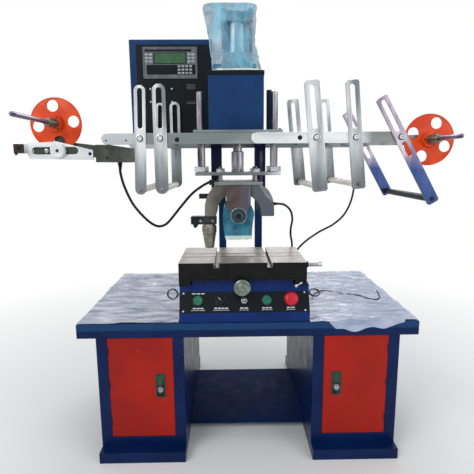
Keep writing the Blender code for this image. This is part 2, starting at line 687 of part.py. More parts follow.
def door(side):
    label = "left" if side < 0 else "right"
    x0, x1 = sorted((side * (PEDESTAL_INNER + FACE_FRAME), side * (PEDESTAL_OUTER - FACE_FRAME)))
    front = DESK_FRONT_Y + DESK_SHEET + GAP
    low, high = door_opening()
    leaf = box("door_" + label, (x0 + DOOR_GAP, front, low + DOOR_GAP),
               (x1 - DOOR_GAP, front + DOOR_THICK, high - DOOR_GAP), "red_paint")
    lock_x = lock_centre(side)
    plate = box("plate", (lock_x - LOCK_PLATE_WIDTH / 2, front - LOCK_PLATE_THICK,
                          LOCK_Z - LOCK_PLATE_HEIGHT / 3),
                (lock_x + LOCK_PLATE_WIDTH / 2, front + LOCK_PLATE_THICK,
                 LOCK_Z + 2 * LOCK_PLATE_HEIGHT / 3))
    join(leaf, plate)
    bore = rod("bore", (lock_x, front - CUT_OVERRUN, LOCK_Z), (0, 1, 0), DOOR_THICK + 2 * CUT_OVERRUN,
               LOCK_STEM_R + RUNNING_GAP)
    cut(leaf, bore)
    hinge_x = side * (PEDESTAL_OUTER - FACE_FRAME - DOOR_GAP)
    return moved_origin(leaf, (hinge_x, front, 0.0))


def lock_centre(side):
    return side * (PEDESTAL_INNER + FACE_FRAME + LOCK_INSET)


def lock(side):
    label = "left" if side < 0 else "right"
    face = DESK_FRONT_Y + DESK_SHEET - LOCK_PLATE_THICK
    profile = ((0.0, LOCK_KNOB_R * 0.8), (LOCK_KNOB_LENGTH * 0.2, LOCK_KNOB_R),
               (LOCK_KNOB_LENGTH, LOCK_KNOB_R),
               (LOCK_KNOB_LENGTH, LOCK_STEM_R), (LOCK_KNOB_LENGTH + DOOR_THICK, LOCK_STEM_R))
    knob = turned("lock_" + label, profile, (lock_centre(side), face - LOCK_KNOB_LENGTH, LOCK_Z), (0, 1, 0),
                  SMALL_ROUND, "bright_steel")
    return moved_origin(knob, (lock_centre(side), face, LOCK_Z))


def foot_shelf():
    """A folded sheet between the two cabinets, its edges turned down."""
    half = PEDESTAL_INNER - GAP
    front = SHELF_FRONT_Y
    rear = SHELF_REAR_Y
    top = SHELF_Z + SHELF_SHEET
    foot = SHELF_Z - SHELF_LIP
    outline = ((front, foot), (front + SHELF_SHEET, foot), (front + SHELF_SHEET, SHELF_Z),
               (rear - SHELF_SHEET, SHELF_Z),
               (rear - SHELF_SHEET, foot), (rear, foot), (rear, top), (front, top))
    return prism("foot_shelf", outline, "X", -half, half, "blue_paint")


def desk_film():
    """The protective sheet on the desk, open round the console and in front of it."""
    half = DESK_WIDTH / 2
    left = CONSOLE_LEFT - FILM_NOTCH_CLEAR
    right = CONSOLE_RIGHT + FILM_NOTCH_CLEAR
    outline = ((-half, DESK_FRONT_Y), (left, DESK_FRONT_Y), (left, FILM_NOTCH_REAR_Y),
               (right, FILM_NOTCH_REAR_Y),
               (right, DESK_FRONT_Y), (half, DESK_FRONT_Y), (half, DESK_REAR_Y), (-half, DESK_REAR_Y))
    return prism("desk_film", outline, "Z", ON_DESK_Z, ON_DESK_Z + FILM_THICK, "clear_film")


def console_outline(wall):
    floor = ON_DESK_Z if wall == 0 else ON_DESK_Z - CUT_OVERRUN
    slack = wall * (SLOPE_LENGTH - SLOPE_RUN) / SLOPE_RISE
    top = CONSOLE_TOP_Z if wall == 0 else CONSOLE_TOP_Z - SLIDE_BASE_THICK
    return ((CONSOLE_FRONT_Y + wall, floor), (CONSOLE_FRONT_Y + wall, CONSOLE_LIP_Z - slack),
            (STRIP_FRONT_Y + wall, STRIP_BOTTOM_Z - slack), (STRIP_FRONT_Y + wall, top),
            (CONSOLE_REAR_Y - wall, top), (CONSOLE_REAR_Y - wall, floor))


def control_stems():
    """X, place up the slope and clearance radius of each hole in the sloped panel."""
    share = CONTROL_SLOPE_SHARE
    button = BUTTON_STEM_R + RUNNING_GAP
    return ((START_LEFT_X, share, button), (SELECTOR_X, share, button),
            (TOGGLE_X, share, TOGGLE_BALL_R + RUNNING_GAP), (START_RIGHT_X, share, button),
            (STOP_X, STOP_SLOPE_SHARE, button))


def stem_cutter(x, share, radius):
    base = on_slope(x, share, -CUT_OVERRUN)
    return rod("stem_cutter", base, OFF_SLOPE, 2 * CUT_OVERRUN, radius)


def console_box():
    body = prism("console_box", console_outline(0.0), "X", CONSOLE_LEFT, CONSOLE_RIGHT, "blue_paint")
    room = prism("room", console_outline(CONSOLE_WALL), "X", CONSOLE_LEFT + CONSOLE_WALL,
                 CONSOLE_RIGHT - CONSOLE_WALL)
    notch_bottom = SADDLE_BOTTOM_Z - SADDLE_LEG_DROP - GAP
    reach = SADDLE_LEG_WIDTH + SADDLE_LEG_CLEAR
    cutters = [room]
    for x0, x1 in ((CONSOLE_LEFT - CUT_OVERRUN, TABLE_LEFT + reach),
                   (TABLE_RIGHT - reach, CONSOLE_RIGHT + CUT_OVERRUN)):
        cutters.append(box("notch", (x0, CONSOLE_FRONT_Y, notch_bottom),
                           (x1, 0.0, CONSOLE_TOP_Z + CUT_OVERRUN)))
    cutters += [stem_cutter(*stem) for stem in control_stems()]
    cutters.append(rod("shaft_bore", (WHEEL_X, STRIP_FRONT_Y - CUT_OVERRUN, WHEEL_Z), (0, 1, 0),
                       WHEEL_SHAFT_INSIDE + 2 * CUT_OVERRUN, WHEEL_SHAFT_R + RUNNING_GAP))
    cut(body, *cutters)
    extras = [eye_bolt(-1), eye_bolt(1)]
    reach = CABLE_GLAND_LENGTH + CONSOLE_WALL / 2
    for inset, rise in zip(CONSOLE_GLAND_INSETS, CONSOLE_GLAND_RISES):
        place = (CONSOLE_RIGHT - inset, CONSOLE_REAR_Y - CONSOLE_WALL / 2, DESK_HEIGHT + rise)
        extras.append(rod("gland", place, (0, 1, 0), reach, CABLE_GLAND_R))
    place = (CONSOLE_RIGHT - CONSOLE_WALL / 2, WIRE_GLAND_Y, DESK_HEIGHT + WIRE_GLAND_RISE)
    extras.append(rod("gland", place, (1, 0, 0), reach, CABLE_GLAND_R))
    return join(body, *extras)


def eye_bolt(side):
    """A ring bolt in the end wall, its ring facing the operator."""
    wall = CONSOLE_LEFT if side < 0 else CONSOLE_RIGHT
    centre = wall + side * (EYE_SHANK + EYE_RING_R)
    built = bmesh.new()
    rings = []
    for k in range(SMALL_ROUND):
        turn = 2 * math.pi * k / SMALL_ROUND
        ring = []
        for n in range(6):
            small = 2 * math.pi * n / 6
            reach = EYE_RING_R + EYE_WIRE_R * math.cos(small)
            ring.append(built.verts.new((centre + reach * math.cos(turn),
                                         EYE_Y + EYE_WIRE_R * math.sin(small),
                                         EYE_Z + reach * math.sin(turn))))
        rings.append(ring)
    for k, ring in enumerate(rings):
        other = rings[(k + 1) % SMALL_ROUND]
        for n in range(6):
            m = (n + 1) % 6
            built.faces.new((ring[n], ring[m], other[m], other[n]))
    eye = make_object("eye", finish_mesh(built), None)
    shank = rod("shank", (wall - side * CONSOLE_WALL / 2, EYE_Y, EYE_Z), (side, 0, 0),
                EYE_SHANK + CONSOLE_WALL / 2 + EYE_WIRE_R, EYE_WIRE_R * 1.2, TINY_ROUND)
    return join(eye, shank)


def console_panel():
    margin = PANEL_MARGIN / SLOPE_LENGTH
    outline = []
    for share, height in ((margin, GAP), (1 - margin, GAP), (1 - margin, PANEL_THICK),
                          (margin, PANEL_THICK)):
        place = on_slope(0.0, share, height)
        outline.append((place.y, place.z))
    plate = prism("console_panel", outline, "X", CONSOLE_LEFT + PANEL_MARGIN, CONSOLE_RIGHT - PANEL_MARGIN,
                  "black_plastic")
    return cut(plate, *[stem_cutter(*stem) for stem in control_stems()])


def push_button(name, x, share, cap_r, cap_thick, finish):
    """A cap that stands its travel above the panel, on a stem that slides in the panel's hole."""
    stem_start = BUTTON_TRAVEL + PANEL_THICK + RUNNING_GAP - BUTTON_STEM_LENGTH
    back = BUTTON_TRAVEL + PANEL_THICK + RUNNING_GAP
    profile = ((0.0, BUTTON_STEM_R), (back - stem_start, BUTTON_STEM_R), (back - stem_start, cap_r * 0.92),
               (back - stem_start + cap_thick * 0.4, cap_r), (back - stem_start + cap_thick * 0.75,
                                                              cap_r * 0.96),
               (back - stem_start + cap_thick, cap_r * 0.72))
    made = turned(name, profile, on_slope(x, share, stem_start), OFF_SLOPE, 24, finish)
    return moved_origin(made, on_slope(x, share))


def selector_knob():
    back = PANEL_THICK + GAP
    profile = ((0.0, BUTTON_STEM_R), (BUTTON_STEM_LENGTH, BUTTON_STEM_R), (BUTTON_STEM_LENGTH, SELECTOR_R),
               (BUTTON_STEM_LENGTH + SELECTOR_THICK, SELECTOR_R * 0.9))
    made = turned("selector_knob", profile, on_slope(SELECTOR_X, CONTROL_SLOPE_SHARE,
                                                     back - BUTTON_STEM_LENGTH),
                  OFF_SLOPE, 24, "black_plastic")
    grip = box("grip", (-SELECTOR_GRIP_WIDTH / 2, -SELECTOR_R * 0.85, 0.0),
               (SELECTOR_GRIP_WIDTH / 2, SELECTOR_R * 0.85, SELECTOR_GRIP_HEIGHT + SELECTOR_THICK / 2))
    frame = Matrix((Vector((1, 0, 0)), UP_SLOPE, OFF_SLOPE)).transposed().to_4x4()
    foot = on_slope(SELECTOR_X, CONTROL_SLOPE_SHARE, back + SELECTOR_THICK / 2)
    tilt = Matrix.Rotation(math.radians(40), 4, "Z")
    grip.data.transform(Matrix.Translation(foot) @ frame @ tilt)
    join(made, grip)
    return moved_origin(made, on_slope(SELECTOR_X, CONTROL_SLOPE_SHARE))


def toggle_lever():
    ball = TOGGLE_BALL_R
    profile = []
    for degrees in (20, 45, 70, 90, 115, 140):
        turn = math.radians(degrees)
        profile.append((ball - ball * math.cos(turn), ball * math.sin(turn)))
    profile += [(ball * 2.0, TOGGLE_LEVER_R), (ball + TOGGLE_LENGTH * 0.8, TOGGLE_LEVER_R * 1.3),
                (ball + TOGGLE_LENGTH, TOGGLE_LEVER_R * 0.8)]
    made = turned("toggle_lever", profile, on_slope(TOGGLE_X, CONTROL_SLOPE_SHARE, -ball), OFF_SLOPE, 12,
                  "bright_steel")
    return moved_origin(made, on_slope(TOGGLE_X, CONTROL_SLOPE_SHARE))


def saddle_block():
    plate = box("saddle_block", (TABLE_LEFT, TABLE_FRONT_Y, SADDLE_BOTTOM_Z),
                (TABLE_RIGHT, TABLE_REAR_Y, SADDLE_TOP_Z),
                "black_paint")
    legs = []
    for x0 in (TABLE_LEFT, TABLE_RIGHT - SADDLE_LEG_WIDTH):
        legs.append(box("leg", (x0, TABLE_FRONT_Y, SADDLE_BOTTOM_Z - SADDLE_LEG_DROP),
                        (x0 + SADDLE_LEG_WIDTH, TABLE_REAR_Y, SADDLE_TOP_Z)))
    return join(plate, *legs)


def worktable():
    block = box("worktable", (TABLE_LEFT, TABLE_FRONT_Y, TABLE_BOTTOM_Z),
                (TABLE_RIGHT, TABLE_REAR_Y, TABLE_TOP_Z),
                "black_paint")
    front = TABLE_FRONT_Y - CUT_OVERRUN
    rear = TABLE_REAR_Y + CUT_OVERRUN
    cutters = []
    for offset in T_SLOT_OFFSETS:
        x = TABLE_X + offset
        neck = T_SLOT_WIDTH / 2
        foot = T_SLOT_FOOT / 2
        shoulder = TABLE_TOP_Z - T_SLOT_NECK
        outline = ((x - neck, TABLE_TOP_Z + CUT_OVERRUN), (x - neck, shoulder), (x - foot, shoulder),
                   (x - foot, shoulder - T_SLOT_FOOT_DEPTH), (x + foot, shoulder - T_SLOT_FOOT_DEPTH),
                   (x + foot, shoulder), (x + neck, shoulder), (x + neck, TABLE_TOP_Z + CUT_OVERRUN))
        cutters.append(prism("t_slot", outline, "Y", front, rear))
    for y in GROOVE_YS:
        cutters.append(box("groove", (TABLE_LEFT - CUT_OVERRUN, y - GROOVE_WIDTH / 2,
                                      TABLE_TOP_Z - GROOVE_DEPTH),
                           (TABLE_RIGHT + CUT_OVERRUN, y + GROOVE_WIDTH / 2, TABLE_TOP_Z + CUT_OVERRUN)))
    cutters.append(rod("screw_bore", (TABLE_RIGHT - SCREW_INSIDE - RUNNING_GAP, SCREW_Y, SCREW_Z), (1, 0, 0),
                       SCREW_INSIDE + CUT_OVERRUN, SCREW_R + RUNNING_GAP))
    cut(block, *cutters)
    return moved_origin(block, (TABLE_X, 0.0, TABLE_BOTTOM_Z))


def feed_screw():
    collar = SCREW_INSIDE + SCREW_COLLAR_FROM
    profile = ((0.0, SCREW_R), (collar, SCREW_R), (collar, SCREW_COLLAR_R),
               (collar + SCREW_COLLAR_WIDTH, SCREW_COLLAR_R), (collar + SCREW_COLLAR_WIDTH, SCREW_R),
               (SCREW_INSIDE + SCREW_OUTSIDE, SCREW_R))
    made = turned("feed_screw", profile, (TABLE_RIGHT - SCREW_INSIDE, SCREW_Y, SCREW_Z), (1, 0, 0),
                  SMALL_ROUND,
                  "bright_steel")
    return moved_origin(made, (TABLE_RIGHT, SCREW_Y, SCREW_Z))


def handwheel():
    rear = WHEEL_STANDOFF
    profile = ((0.0, WHEEL_R * 0.9), (WHEEL_THICK * 0.2, WHEEL_R), (WHEEL_THICK, WHEEL_R),
               (WHEEL_THICK, WHEEL_R * 0.4),
               (WHEEL_THICK * 1.8, WHEEL_R * 0.3), (WHEEL_THICK * 1.8, WHEEL_SHAFT_R),
               (rear + WHEEL_THICK + WHEEL_SHAFT_INSIDE, WHEEL_SHAFT_R))
    front = STRIP_FRONT_Y - WHEEL_STANDOFF - WHEEL_THICK
    made = turned("handwheel", profile, (WHEEL_X, front, WHEEL_Z), (0, 1, 0), ROUND, "bright_steel")
    return moved_origin(made, (WHEEL_X, STRIP_FRONT_Y, WHEEL_Z))


def column_frame():
    """Two posts on one foot plate, each with a wider sleeve under the head plate."""
    half = COLUMN_SPACING / 2
    rear = COLUMN_FRONT_Y + COLUMN_DEPTH
    reach = half + SLEEVE_WIDTH / 2 + COLUMN_BASE_MARGIN
    base = box("column_frame", (COLUMN_X - reach, COLUMN_FRONT_Y - COLUMN_BASE_MARGIN, ON_DESK_Z),
               (COLUMN_X + reach, rear + COLUMN_BASE_MARGIN, ON_DESK_Z + COLUMN_BASE_THICK), "navy_paint")
    parts = []
    inset = (SLEEVE_WIDTH - POST_WIDTH) / 2
    for side in (-1, 1):
        x = COLUMN_X + side * half
        parts.append(box("post", (x - POST_WIDTH / 2, COLUMN_FRONT_Y + inset, ON_DESK_Z),
                         (x + POST_WIDTH / 2, rear - inset, SLEEVE_BOTTOM_Z + inset)))
        x = SLEEVES_X + side * SLEEVE_SPACING / 2
        parts.append(box("sleeve", (x - SLEEVE_WIDTH / 2, COLUMN_FRONT_Y, SLEEVE_BOTTOM_Z),
                         (x + SLEEVE_WIDTH / 2, rear, HEAD_PLATE_Z - GAP)))
    parts.append(rod("gland", (COLUMN_GLAND_X, COLUMN_FRONT_Y + CABLE_GLAND_R, COLUMN_GLAND_Z), (0, -1, 0),
                     CABLE_GLAND_LENGTH + CABLE_GLAND_R, CABLE_GLAND_R))
    return join(base, *parts)


def head_plate():
    half = HEAD_PLATE_WIDTH / 2
    plate = box("head_plate", (HEAD_X - half, HEAD_PLATE_FRONT_Y, HEAD_PLATE_Z),
                (HEAD_X + half, HEAD_REAR_Y, HEAD_TOP_Z),
                "ground_steel")
    cutters = []
    for x, radius in ((HEAD_X, PISTON_R), (HEAD_X - GUIDE_ROD_SPACING / 2, GUIDE_ROD_R),
                      (HEAD_X + GUIDE_ROD_SPACING / 2, GUIDE_ROD_R)):
        cutters.append(rod("bore", (x, PRESS_Y, HEAD_PLATE_Z - CUT_OVERRUN), (0, 0, 1),
                           HEAD_PLATE_THICK + 2 * CUT_OVERRUN, radius + RUNNING_GAP, 24))
    return cut(plate, *cutters)


def head_housing():
    """The sheet-metal head, open below, with a taller rear panel."""
    front = HOUSING_FRONT_Y
    bottom = HEAD_BASE_Z
    body = box("head_housing", (HOUSING_LEFT, front, bottom), (HOUSING_RIGHT, HEAD_REAR_Y, HOUSING_TOP_Z),
               "blue_paint")
    panel = box("panel", (HOUSING_LEFT, HEAD_REAR_Y - REAR_PANEL_THICK, bottom),
                (HOUSING_RIGHT, HEAD_REAR_Y, REAR_PANEL_TOP_Z))
    join(body, panel)
    wall = HOUSING_SHEET
    room = box("room", (HOUSING_LEFT + wall, front + wall, bottom - CUT_OVERRUN),
               (HOUSING_RIGHT - wall, HEAD_REAR_Y - REAR_PANEL_THICK, HOUSING_TOP_Z - wall))
    hole = rod("hole", (HEAD_X, PRESS_Y, HOUSING_TOP_Z - wall - CUT_OVERRUN), (0, 0, 1),
               wall + 2 * CUT_OVERRUN,
               PISTON_R + RUNNING_GAP, 24)
    return cut(body, room, hole)


def control_cabinet():
    right = HOUSING_LEFT - GAP
    bottom = HEAD_TOP_Z + GAP
    rear = CABINET_FRONT_Y + CABINET_DEPTH
    body = box("control_cabinet", (CABINET_LEFT_X, CABINET_FRONT_Y, bottom), (right, rear, CABINET_TOP_Z),
               "blue_paint")
    wall = CABINET_SHEET
    room = box("room", (CABINET_LEFT_X + wall, CABINET_FRONT_Y + wall, bottom + wall),
               (right - wall, rear - wall, CABINET_TOP_Z - wall))
    middle = (CABINET_LEFT_X + right) / 2
    hole = rod("hole", (middle, CABINET_FRONT_Y + CABINET_DEPTH / 2, bottom - CUT_OVERRUN), (0, 0, 1),
               wall + 2 * CUT_OVERRUN, CABINET_CABLE_HOLE_R)
    return cut(body, room, hole)


def display_unit():
    rear = CABINET_FRONT_Y - GAP
    return box("display_unit", (DISPLAY_LEFT_X, rear - DISPLAY_PROUD, DISPLAY_BOTTOM_Z),
               (DISPLAY_LEFT_X + DISPLAY_WIDTH, rear, DISPLAY_BOTTOM_Z + DISPLAY_HEIGHT), "black_plastic")


def press_cylinder():
    """Square end caps, a round barrel and four tie rods, with a blind bore for the piston rod."""
    half = CYLINDER_CAP_SIDE / 2
    foot_top = CYLINDER_BOTTOM_Z + CYLINDER_FOOT_HEIGHT
    head_bottom = foot_top + CYLINDER_BARREL_HEIGHT
    lap = CYLINDER_FOOT_HEIGHT / 4
    body = box("press_cylinder", (HEAD_X - half, PRESS_Y - half, CYLINDER_BOTTOM_Z),
               (HEAD_X + half, PRESS_Y + half, foot_top),
               "aluminium")
    parts = [box("cap", (HEAD_X - half, PRESS_Y - half, head_bottom),
                 (HEAD_X + half, PRESS_Y + half, CYLINDER_TOP_Z)),
             rod("barrel", (HEAD_X, PRESS_Y, foot_top - lap), (0, 0, 1), CYLINDER_BARREL_HEIGHT + 2 * lap,
                 CYLINDER_BARREL_R, ROUND)]
    for sx in (-1, 1):
        for sy in (-1, 1):
            parts.append(rod("tie", (HEAD_X + sx * TIE_ROD_OFFSET, PRESS_Y + sy * TIE_ROD_OFFSET,
                                     foot_top - lap),
                             (0, 0, 1), CYLINDER_BARREL_HEIGHT + 2 * lap, TIE_ROD_R, 8))
    join(body, *parts)
    bore = rod("bore", (HEAD_X, PRESS_Y, CYLINDER_BOTTOM_Z - CUT_OVERRUN), (0, 0, 1),
               PISTON_INSIDE_CYLINDER + 2 * CUT_OVERRUN, PISTON_R + RUNNING_GAP, 24)
    return cut(body, bore)


def bag_ring(z, x, half_x, half_y):
    """A rounded square, as a superellipse."""
    points = []
    for k in range(20):
        angle = 2 * math.pi * k / 20
        c = math.cos(angle)
        s = math.sin(angle)
        points.append((x + half_x * math.copysign(abs(c) ** BAG_CORNER_SHARE, c),
                       PRESS_Y + half_y * math.copysign(abs(s) ** BAG_CORNER_SHARE, s), z))
    return points


def cylinder_bag():
    """A loose plastic bag over the cylinder, its mouth down on the head."""
    built = bmesh.new()
    bottom = HOUSING_TOP_Z + GAP
    outer = []
    inner = []
    for share, shift_share, size_share in BAG_RING_SHARES:
        z = bottom + share * BAG_HEIGHT
        drop = BAG_WALL if share == 1.0 else 0.0
        x = HEAD_X + shift_share * BAG_HALF_WIDTH
        half = BAG_HALF_WIDTH * size_share
        depth = BAG_HALF_DEPTH * size_share
        outer.append([built.verts.new(p) for p in bag_ring(z, x, half, depth)])
        inner.append([built.verts.new(p) for p in bag_ring(z - drop, x, half - BAG_WALL, depth - BAG_WALL)])
    for skin in (outer, inner):
        for low, high in zip(skin, skin[1:]):
            for k in range(20):
                j = (k + 1) % 20
                built.faces.new((low[k], low[j], high[j], high[k]))
        built.faces.new(skin[-1])
    for k in range(20):
        j = (k + 1) % 20
        built.faces.new((outer[0][k], outer[0][j], inner[0][j], inner[0][k]))
    return make_object("cylinder_bag", finish_mesh(built), "blue_film")


def carriage_plate():
    half_x = CARRIAGE_WIDTH / 2
    half_y = CARRIAGE_DEPTH / 2
    plate = box("carriage_plate", (HEAD_X - half_x, PRESS_Y - half_y, CARRIAGE_BOTTOM_Z),
                (HEAD_X + half_x, PRESS_Y + half_y, CARRIAGE_TOP_Z), "ground_steel")
    cutters = []
    below = CARRIAGE_BOTTOM_Z - CUT_OVERRUN
    through = CARRIAGE_THICK + 2 * CUT_OVERRUN
    for x in (HEAD_X, HEAD_X - GUIDE_ROD_SPACING / 2, HEAD_X + GUIDE_ROD_SPACING / 2):
        cutters.append(rod("bore", (x, PRESS_Y, below), (0, 0, 1), through, ROD_SPIGOT_R + GAP, SMALL_ROUND))
    for x, y in stud_places():
        cutters.append(rod("bore", (x, y, below), (0, 0, 1), through, STUD_R + RUNNING_GAP, 12))
    return cut(plate, *cutters)


def stud_places():
    return [(HEAD_X + sx * STUD_X, PRESS_Y + sy * STUD_Y) for sx in (-1, 1) for sy in (-1, 1)]


def piston_rod():
    """From the carriage plate up into the cylinder, with its coupling sleeve."""
    seat = CARRIAGE_TOP_Z + GAP
    top = CYLINDER_BOTTOM_Z + PISTON_INSIDE_CYLINDER
    profile = ((0.0, ROD_SPIGOT_R), (CARRIAGE_THICK + GAP, ROD_SPIGOT_R),
               (CARRIAGE_THICK + GAP, PISTON_SLEEVE_R),
               (seat - CARRIAGE_BOTTOM_Z + PISTON_SLEEVE_HEIGHT, PISTON_SLEEVE_R),
               (seat - CARRIAGE_BOTTOM_Z + PISTON_SLEEVE_HEIGHT, PISTON_R), (top - CARRIAGE_BOTTOM_Z,
                                                                             PISTON_R))
    return turned("piston_rod", profile, (HEAD_X, PRESS_Y, CARRIAGE_BOTTOM_Z), (0, 0, 1), 24, "bright_steel")


def guide_rod(side):
    label = "left" if side < 0 else "right"
    x = HEAD_X + side * GUIDE_ROD_SPACING / 2
    seat = CARRIAGE_THICK + GAP
    profile = ((0.0, ROD_SPIGOT_R), (seat, ROD_SPIGOT_R), (seat, GUIDE_ROD_R),
               (GUIDE_ROD_TOP_Z - CARRIAGE_BOTTOM_Z, GUIDE_ROD_R))
    made = turned("guide_rod_" + label, profile, (x, PRESS_Y, CARRIAGE_BOTTOM_Z), (0, 0, 1), 24,
                  "bright_steel")
    collar = rod("collar", (x, PRESS_Y, CARRIAGE_BOTTOM_Z + seat), (0, 0, 1), COLLAR_HEIGHT, COLLAR_R, 6)
    return join(made, collar)


def heating_hood():
    """A cast arch over the roller with a bolting flange, its studs and a cable gland."""
    steps = 14
    hood_x = HEAD_X + HOOD_SHIFT
    outer = []
    for k in range(steps + 1):
        angle = math.pi * k / steps
        c = math.cos(angle)
        s = math.sin(angle)
        power = 2 / HOOD_SQUARENESS
        outer.append((hood_x + HOOD_HALF_WIDTH * math.copysign(abs(c) ** power, c),
                      ROLLER_Z + HOOD_HALF_HEIGHT * abs(s) ** power))
    foot = ROLLER_Z - HOOD_LEG_DROP
    inner = arc(HEAD_X, ROLLER_Z, HOOD_INNER_R, 180, 0, steps)
    outline = [(hood_x + HOOD_HALF_WIDTH, foot)] + outer + [(hood_x - HOOD_HALF_WIDTH, foot)]
    outline += [(HEAD_X - HOOD_INNER_R, foot)] + inner + [(HEAD_X + HOOD_INNER_R, foot)]
    arch = prism("heating_hood", outline, "Y", HOOD_FRONT_Y, HOOD_REAR_Y, "cast_grey")
    crown = box("crown", (HEAD_X - HOOD_HALF_WIDTH * 2, HOOD_FRONT_Y - CUT_OVERRUN,
                          FLANGE_BOTTOM_Z + FLANGE_THICK / 2),
                (HEAD_X + HOOD_HALF_WIDTH * 2, HOOD_REAR_Y + CUT_OVERRUN,
                 ROLLER_Z + HOOD_HALF_HEIGHT + CUT_OVERRUN))
    cut(arch, crown)
    half = FLANGE_WIDTH / 2
    parts = [box("flange", (HEAD_X - half, HOOD_FRONT_Y - FLANGE_OVERHANG, FLANGE_BOTTOM_Z),
                 (HEAD_X + half, HOOD_REAR_Y + FLANGE_OVERHANG, FLANGE_TOP_Z))]
    root = FLANGE_TOP_Z - FLANGE_THICK / 2
    nut_base = CARRIAGE_TOP_Z + GAP - root
    nut_top = nut_base + NUT_HEIGHT
    profile = ((0.0, STUD_R), (nut_base, STUD_R), (nut_base, NUT_R), (nut_top, NUT_R), (nut_top, STUD_R),
               (nut_top + STUD_TIP, STUD_R))
    for x, y in stud_places():
        parts.append(turned("stud", profile, (x, y, root), (0, 0, 1), 6))
    wall = hood_x + HOOD_HALF_WIDTH
    parts.append(rod("gland", (wall - HOOD_GLAND_R, PRESS_Y + HOOD_GLAND_SHIFT, HOOD_GLAND_Z), (1, 0, 0),
                     HOOD_GLAND_R + HOOD_GLAND_LENGTH,
                     HOOD_GLAND_R, 12))
    return join(arch, *parts)


def bearing_plate(front):
    """Hangs below the flange at one end of the hood and carries the roller's shaft."""
    name = "bearing_plate_front" if front else "bearing_plate_rear"
    half = BEARING_PLATE_WIDTH / 2
    top = FLANGE_BOTTOM_Z - GAP
    boss = arc(HEAD_X, ROLLER_Z, BEARING_BOSS_R, -200, 20, 14)
    outline = [(HEAD_X + half, BEARING_SHOULDER_Z), (HEAD_X + half, top), (HEAD_X - half, top),
               (HEAD_X - half, BEARING_SHOULDER_Z)] + boss
    if front:
        start = HOOD_FRONT_Y - GAP - BEARING_PLATE_THICK
    else:
        start = HOOD_REAR_Y + GAP
    plate = prism(name, outline, "Y", start, start + BEARING_PLATE_THICK, "cast_grey")
    bore = rod("bore", (HEAD_X, start - CUT_OVERRUN, ROLLER_Z), (0, 1, 0),
               BEARING_PLATE_THICK + 2 * CUT_OVERRUN,
               ROLLER_SHAFT_R + RUNNING_GAP, 24)
    return cut(plate, bore)


def press_roller():
    front = HOOD_FRONT_Y - GAP - BEARING_PLATE_THICK - SHAFT_PROUD
    rear = HOOD_REAR_Y + GAP + BEARING_PLATE_THICK + SHAFT_PROUD
    face = HOOD_FRONT_Y - front + (HOOD_REAR_Y - ROLLER_REAR_Y)
    profile = ((0.0, ROLLER_SHAFT_R), (face, ROLLER_SHAFT_R), (face, ROLLER_R),
               (ROLLER_REAR_Y - front, ROLLER_R),
               (ROLLER_REAR_Y - front, ROLLER_SHAFT_R), (rear - front, ROLLER_SHAFT_R))
    made = turned("press_roller", profile, (HEAD_X, front, ROLLER_Z), (0, 1, 0), ROUND, "silicone")
    return moved_origin(made, (HEAD_X, front, ROLLER_Z))


def wrap_outline(radius, foot_half, drop):
    points = arc(HEAD_X, ROLLER_Z, radius, 0, 180, 16)
    return points + [(HEAD_X - foot_half, ROLLER_Z - drop), (HEAD_X + foot_half, ROLLER_Z - drop)]


def roller_wrap():
    """Protective film round the roller: a sleeve whose lower edge hangs free."""
    inner_r = ROLLER_R + WRAP_CLEAR
    outer_r = inner_r + WRAP_WALL
    start = HOOD_FRONT_Y + (HOOD_REAR_Y - ROLLER_REAR_Y)
    sleeve = prism("roller_wrap", wrap_outline(outer_r, WRAP_HALF_FOOT, WRAP_DROP), "Y", start,
                   ROLLER_REAR_Y, "teal_film")
    room = prism("room", wrap_outline(inner_r, WRAP_HALF_FOOT - WRAP_WALL, WRAP_DROP - WRAP_WALL), "Y",
                 start - CUT_OVERRUN, ROLLER_REAR_Y + CUT_OVERRUN)
    return cut(sleeve, room)


def hot_air_nozzle():
    """A clamp under the hood's left leg with a tapered nozzle pointing down."""
    top = ROLLER_Z - HOOD_LEG_DROP - GAP
    middle = NOZZLE_X + NOZZLE_CLAMP_SHIFT
    clamp = box("hot_air_nozzle", (middle - NOZZLE_CLAMP_WIDTH / 2, NOZZLE_Y - NOZZLE_CLAMP_DEPTH / 2,
                                   top - NOZZLE_CLAMP_HEIGHT),
                (middle + NOZZLE_CLAMP_WIDTH / 2, NOZZLE_Y + NOZZLE_CLAMP_DEPTH / 2, top), "cast_grey")
    lap = NOZZLE_CLAMP_HEIGHT / 2
    profile = ((0.0, NOZZLE_R * 0.8), (lap, NOZZLE_R * 0.8), (lap, NOZZLE_R), (lap + NOZZLE_BODY, NOZZLE_R),
               (lap + NOZZLE_BODY + NOZZLE_CONE, NOZZLE_TIP_R))
    cone = turned("cone", profile, (NOZZLE_X, NOZZLE_Y, top - NOZZLE_CLAMP_HEIGHT + lap), (0, 0, -1), 20)
    return join(clamp, cone)


def pivot_cutters(spots, front_y, thick):
    made = []
    for x in spots:
        made.append(rod("pivot_bore", (x, front_y - CUT_OVERRUN, BEAM_MID_Z), (0, 1, 0),
                        thick + 2 * CUT_OVERRUN,
                        PIVOT_R + RUNNING_GAP, 12))
    return made


def cross_beam_front():
    outline = bar_outline(BEAM_LEFT_X, BEAM_RIGHT_X, BEAM_BOTTOM_Z, BEAM_TOP_Z, True, False)
    beam = prism("cross_beam_front", outline, "Y", FRONT_BEAM_Y, FRONT_BEAM_Y + BEAM_THICK, "aluminium")
    spots = [frame[1] for frame in GUIDE_FRAMES if frame[1] < HEAD_X]
    return cut(beam, *pivot_cutters(spots, FRONT_BEAM_Y, BEAM_THICK))


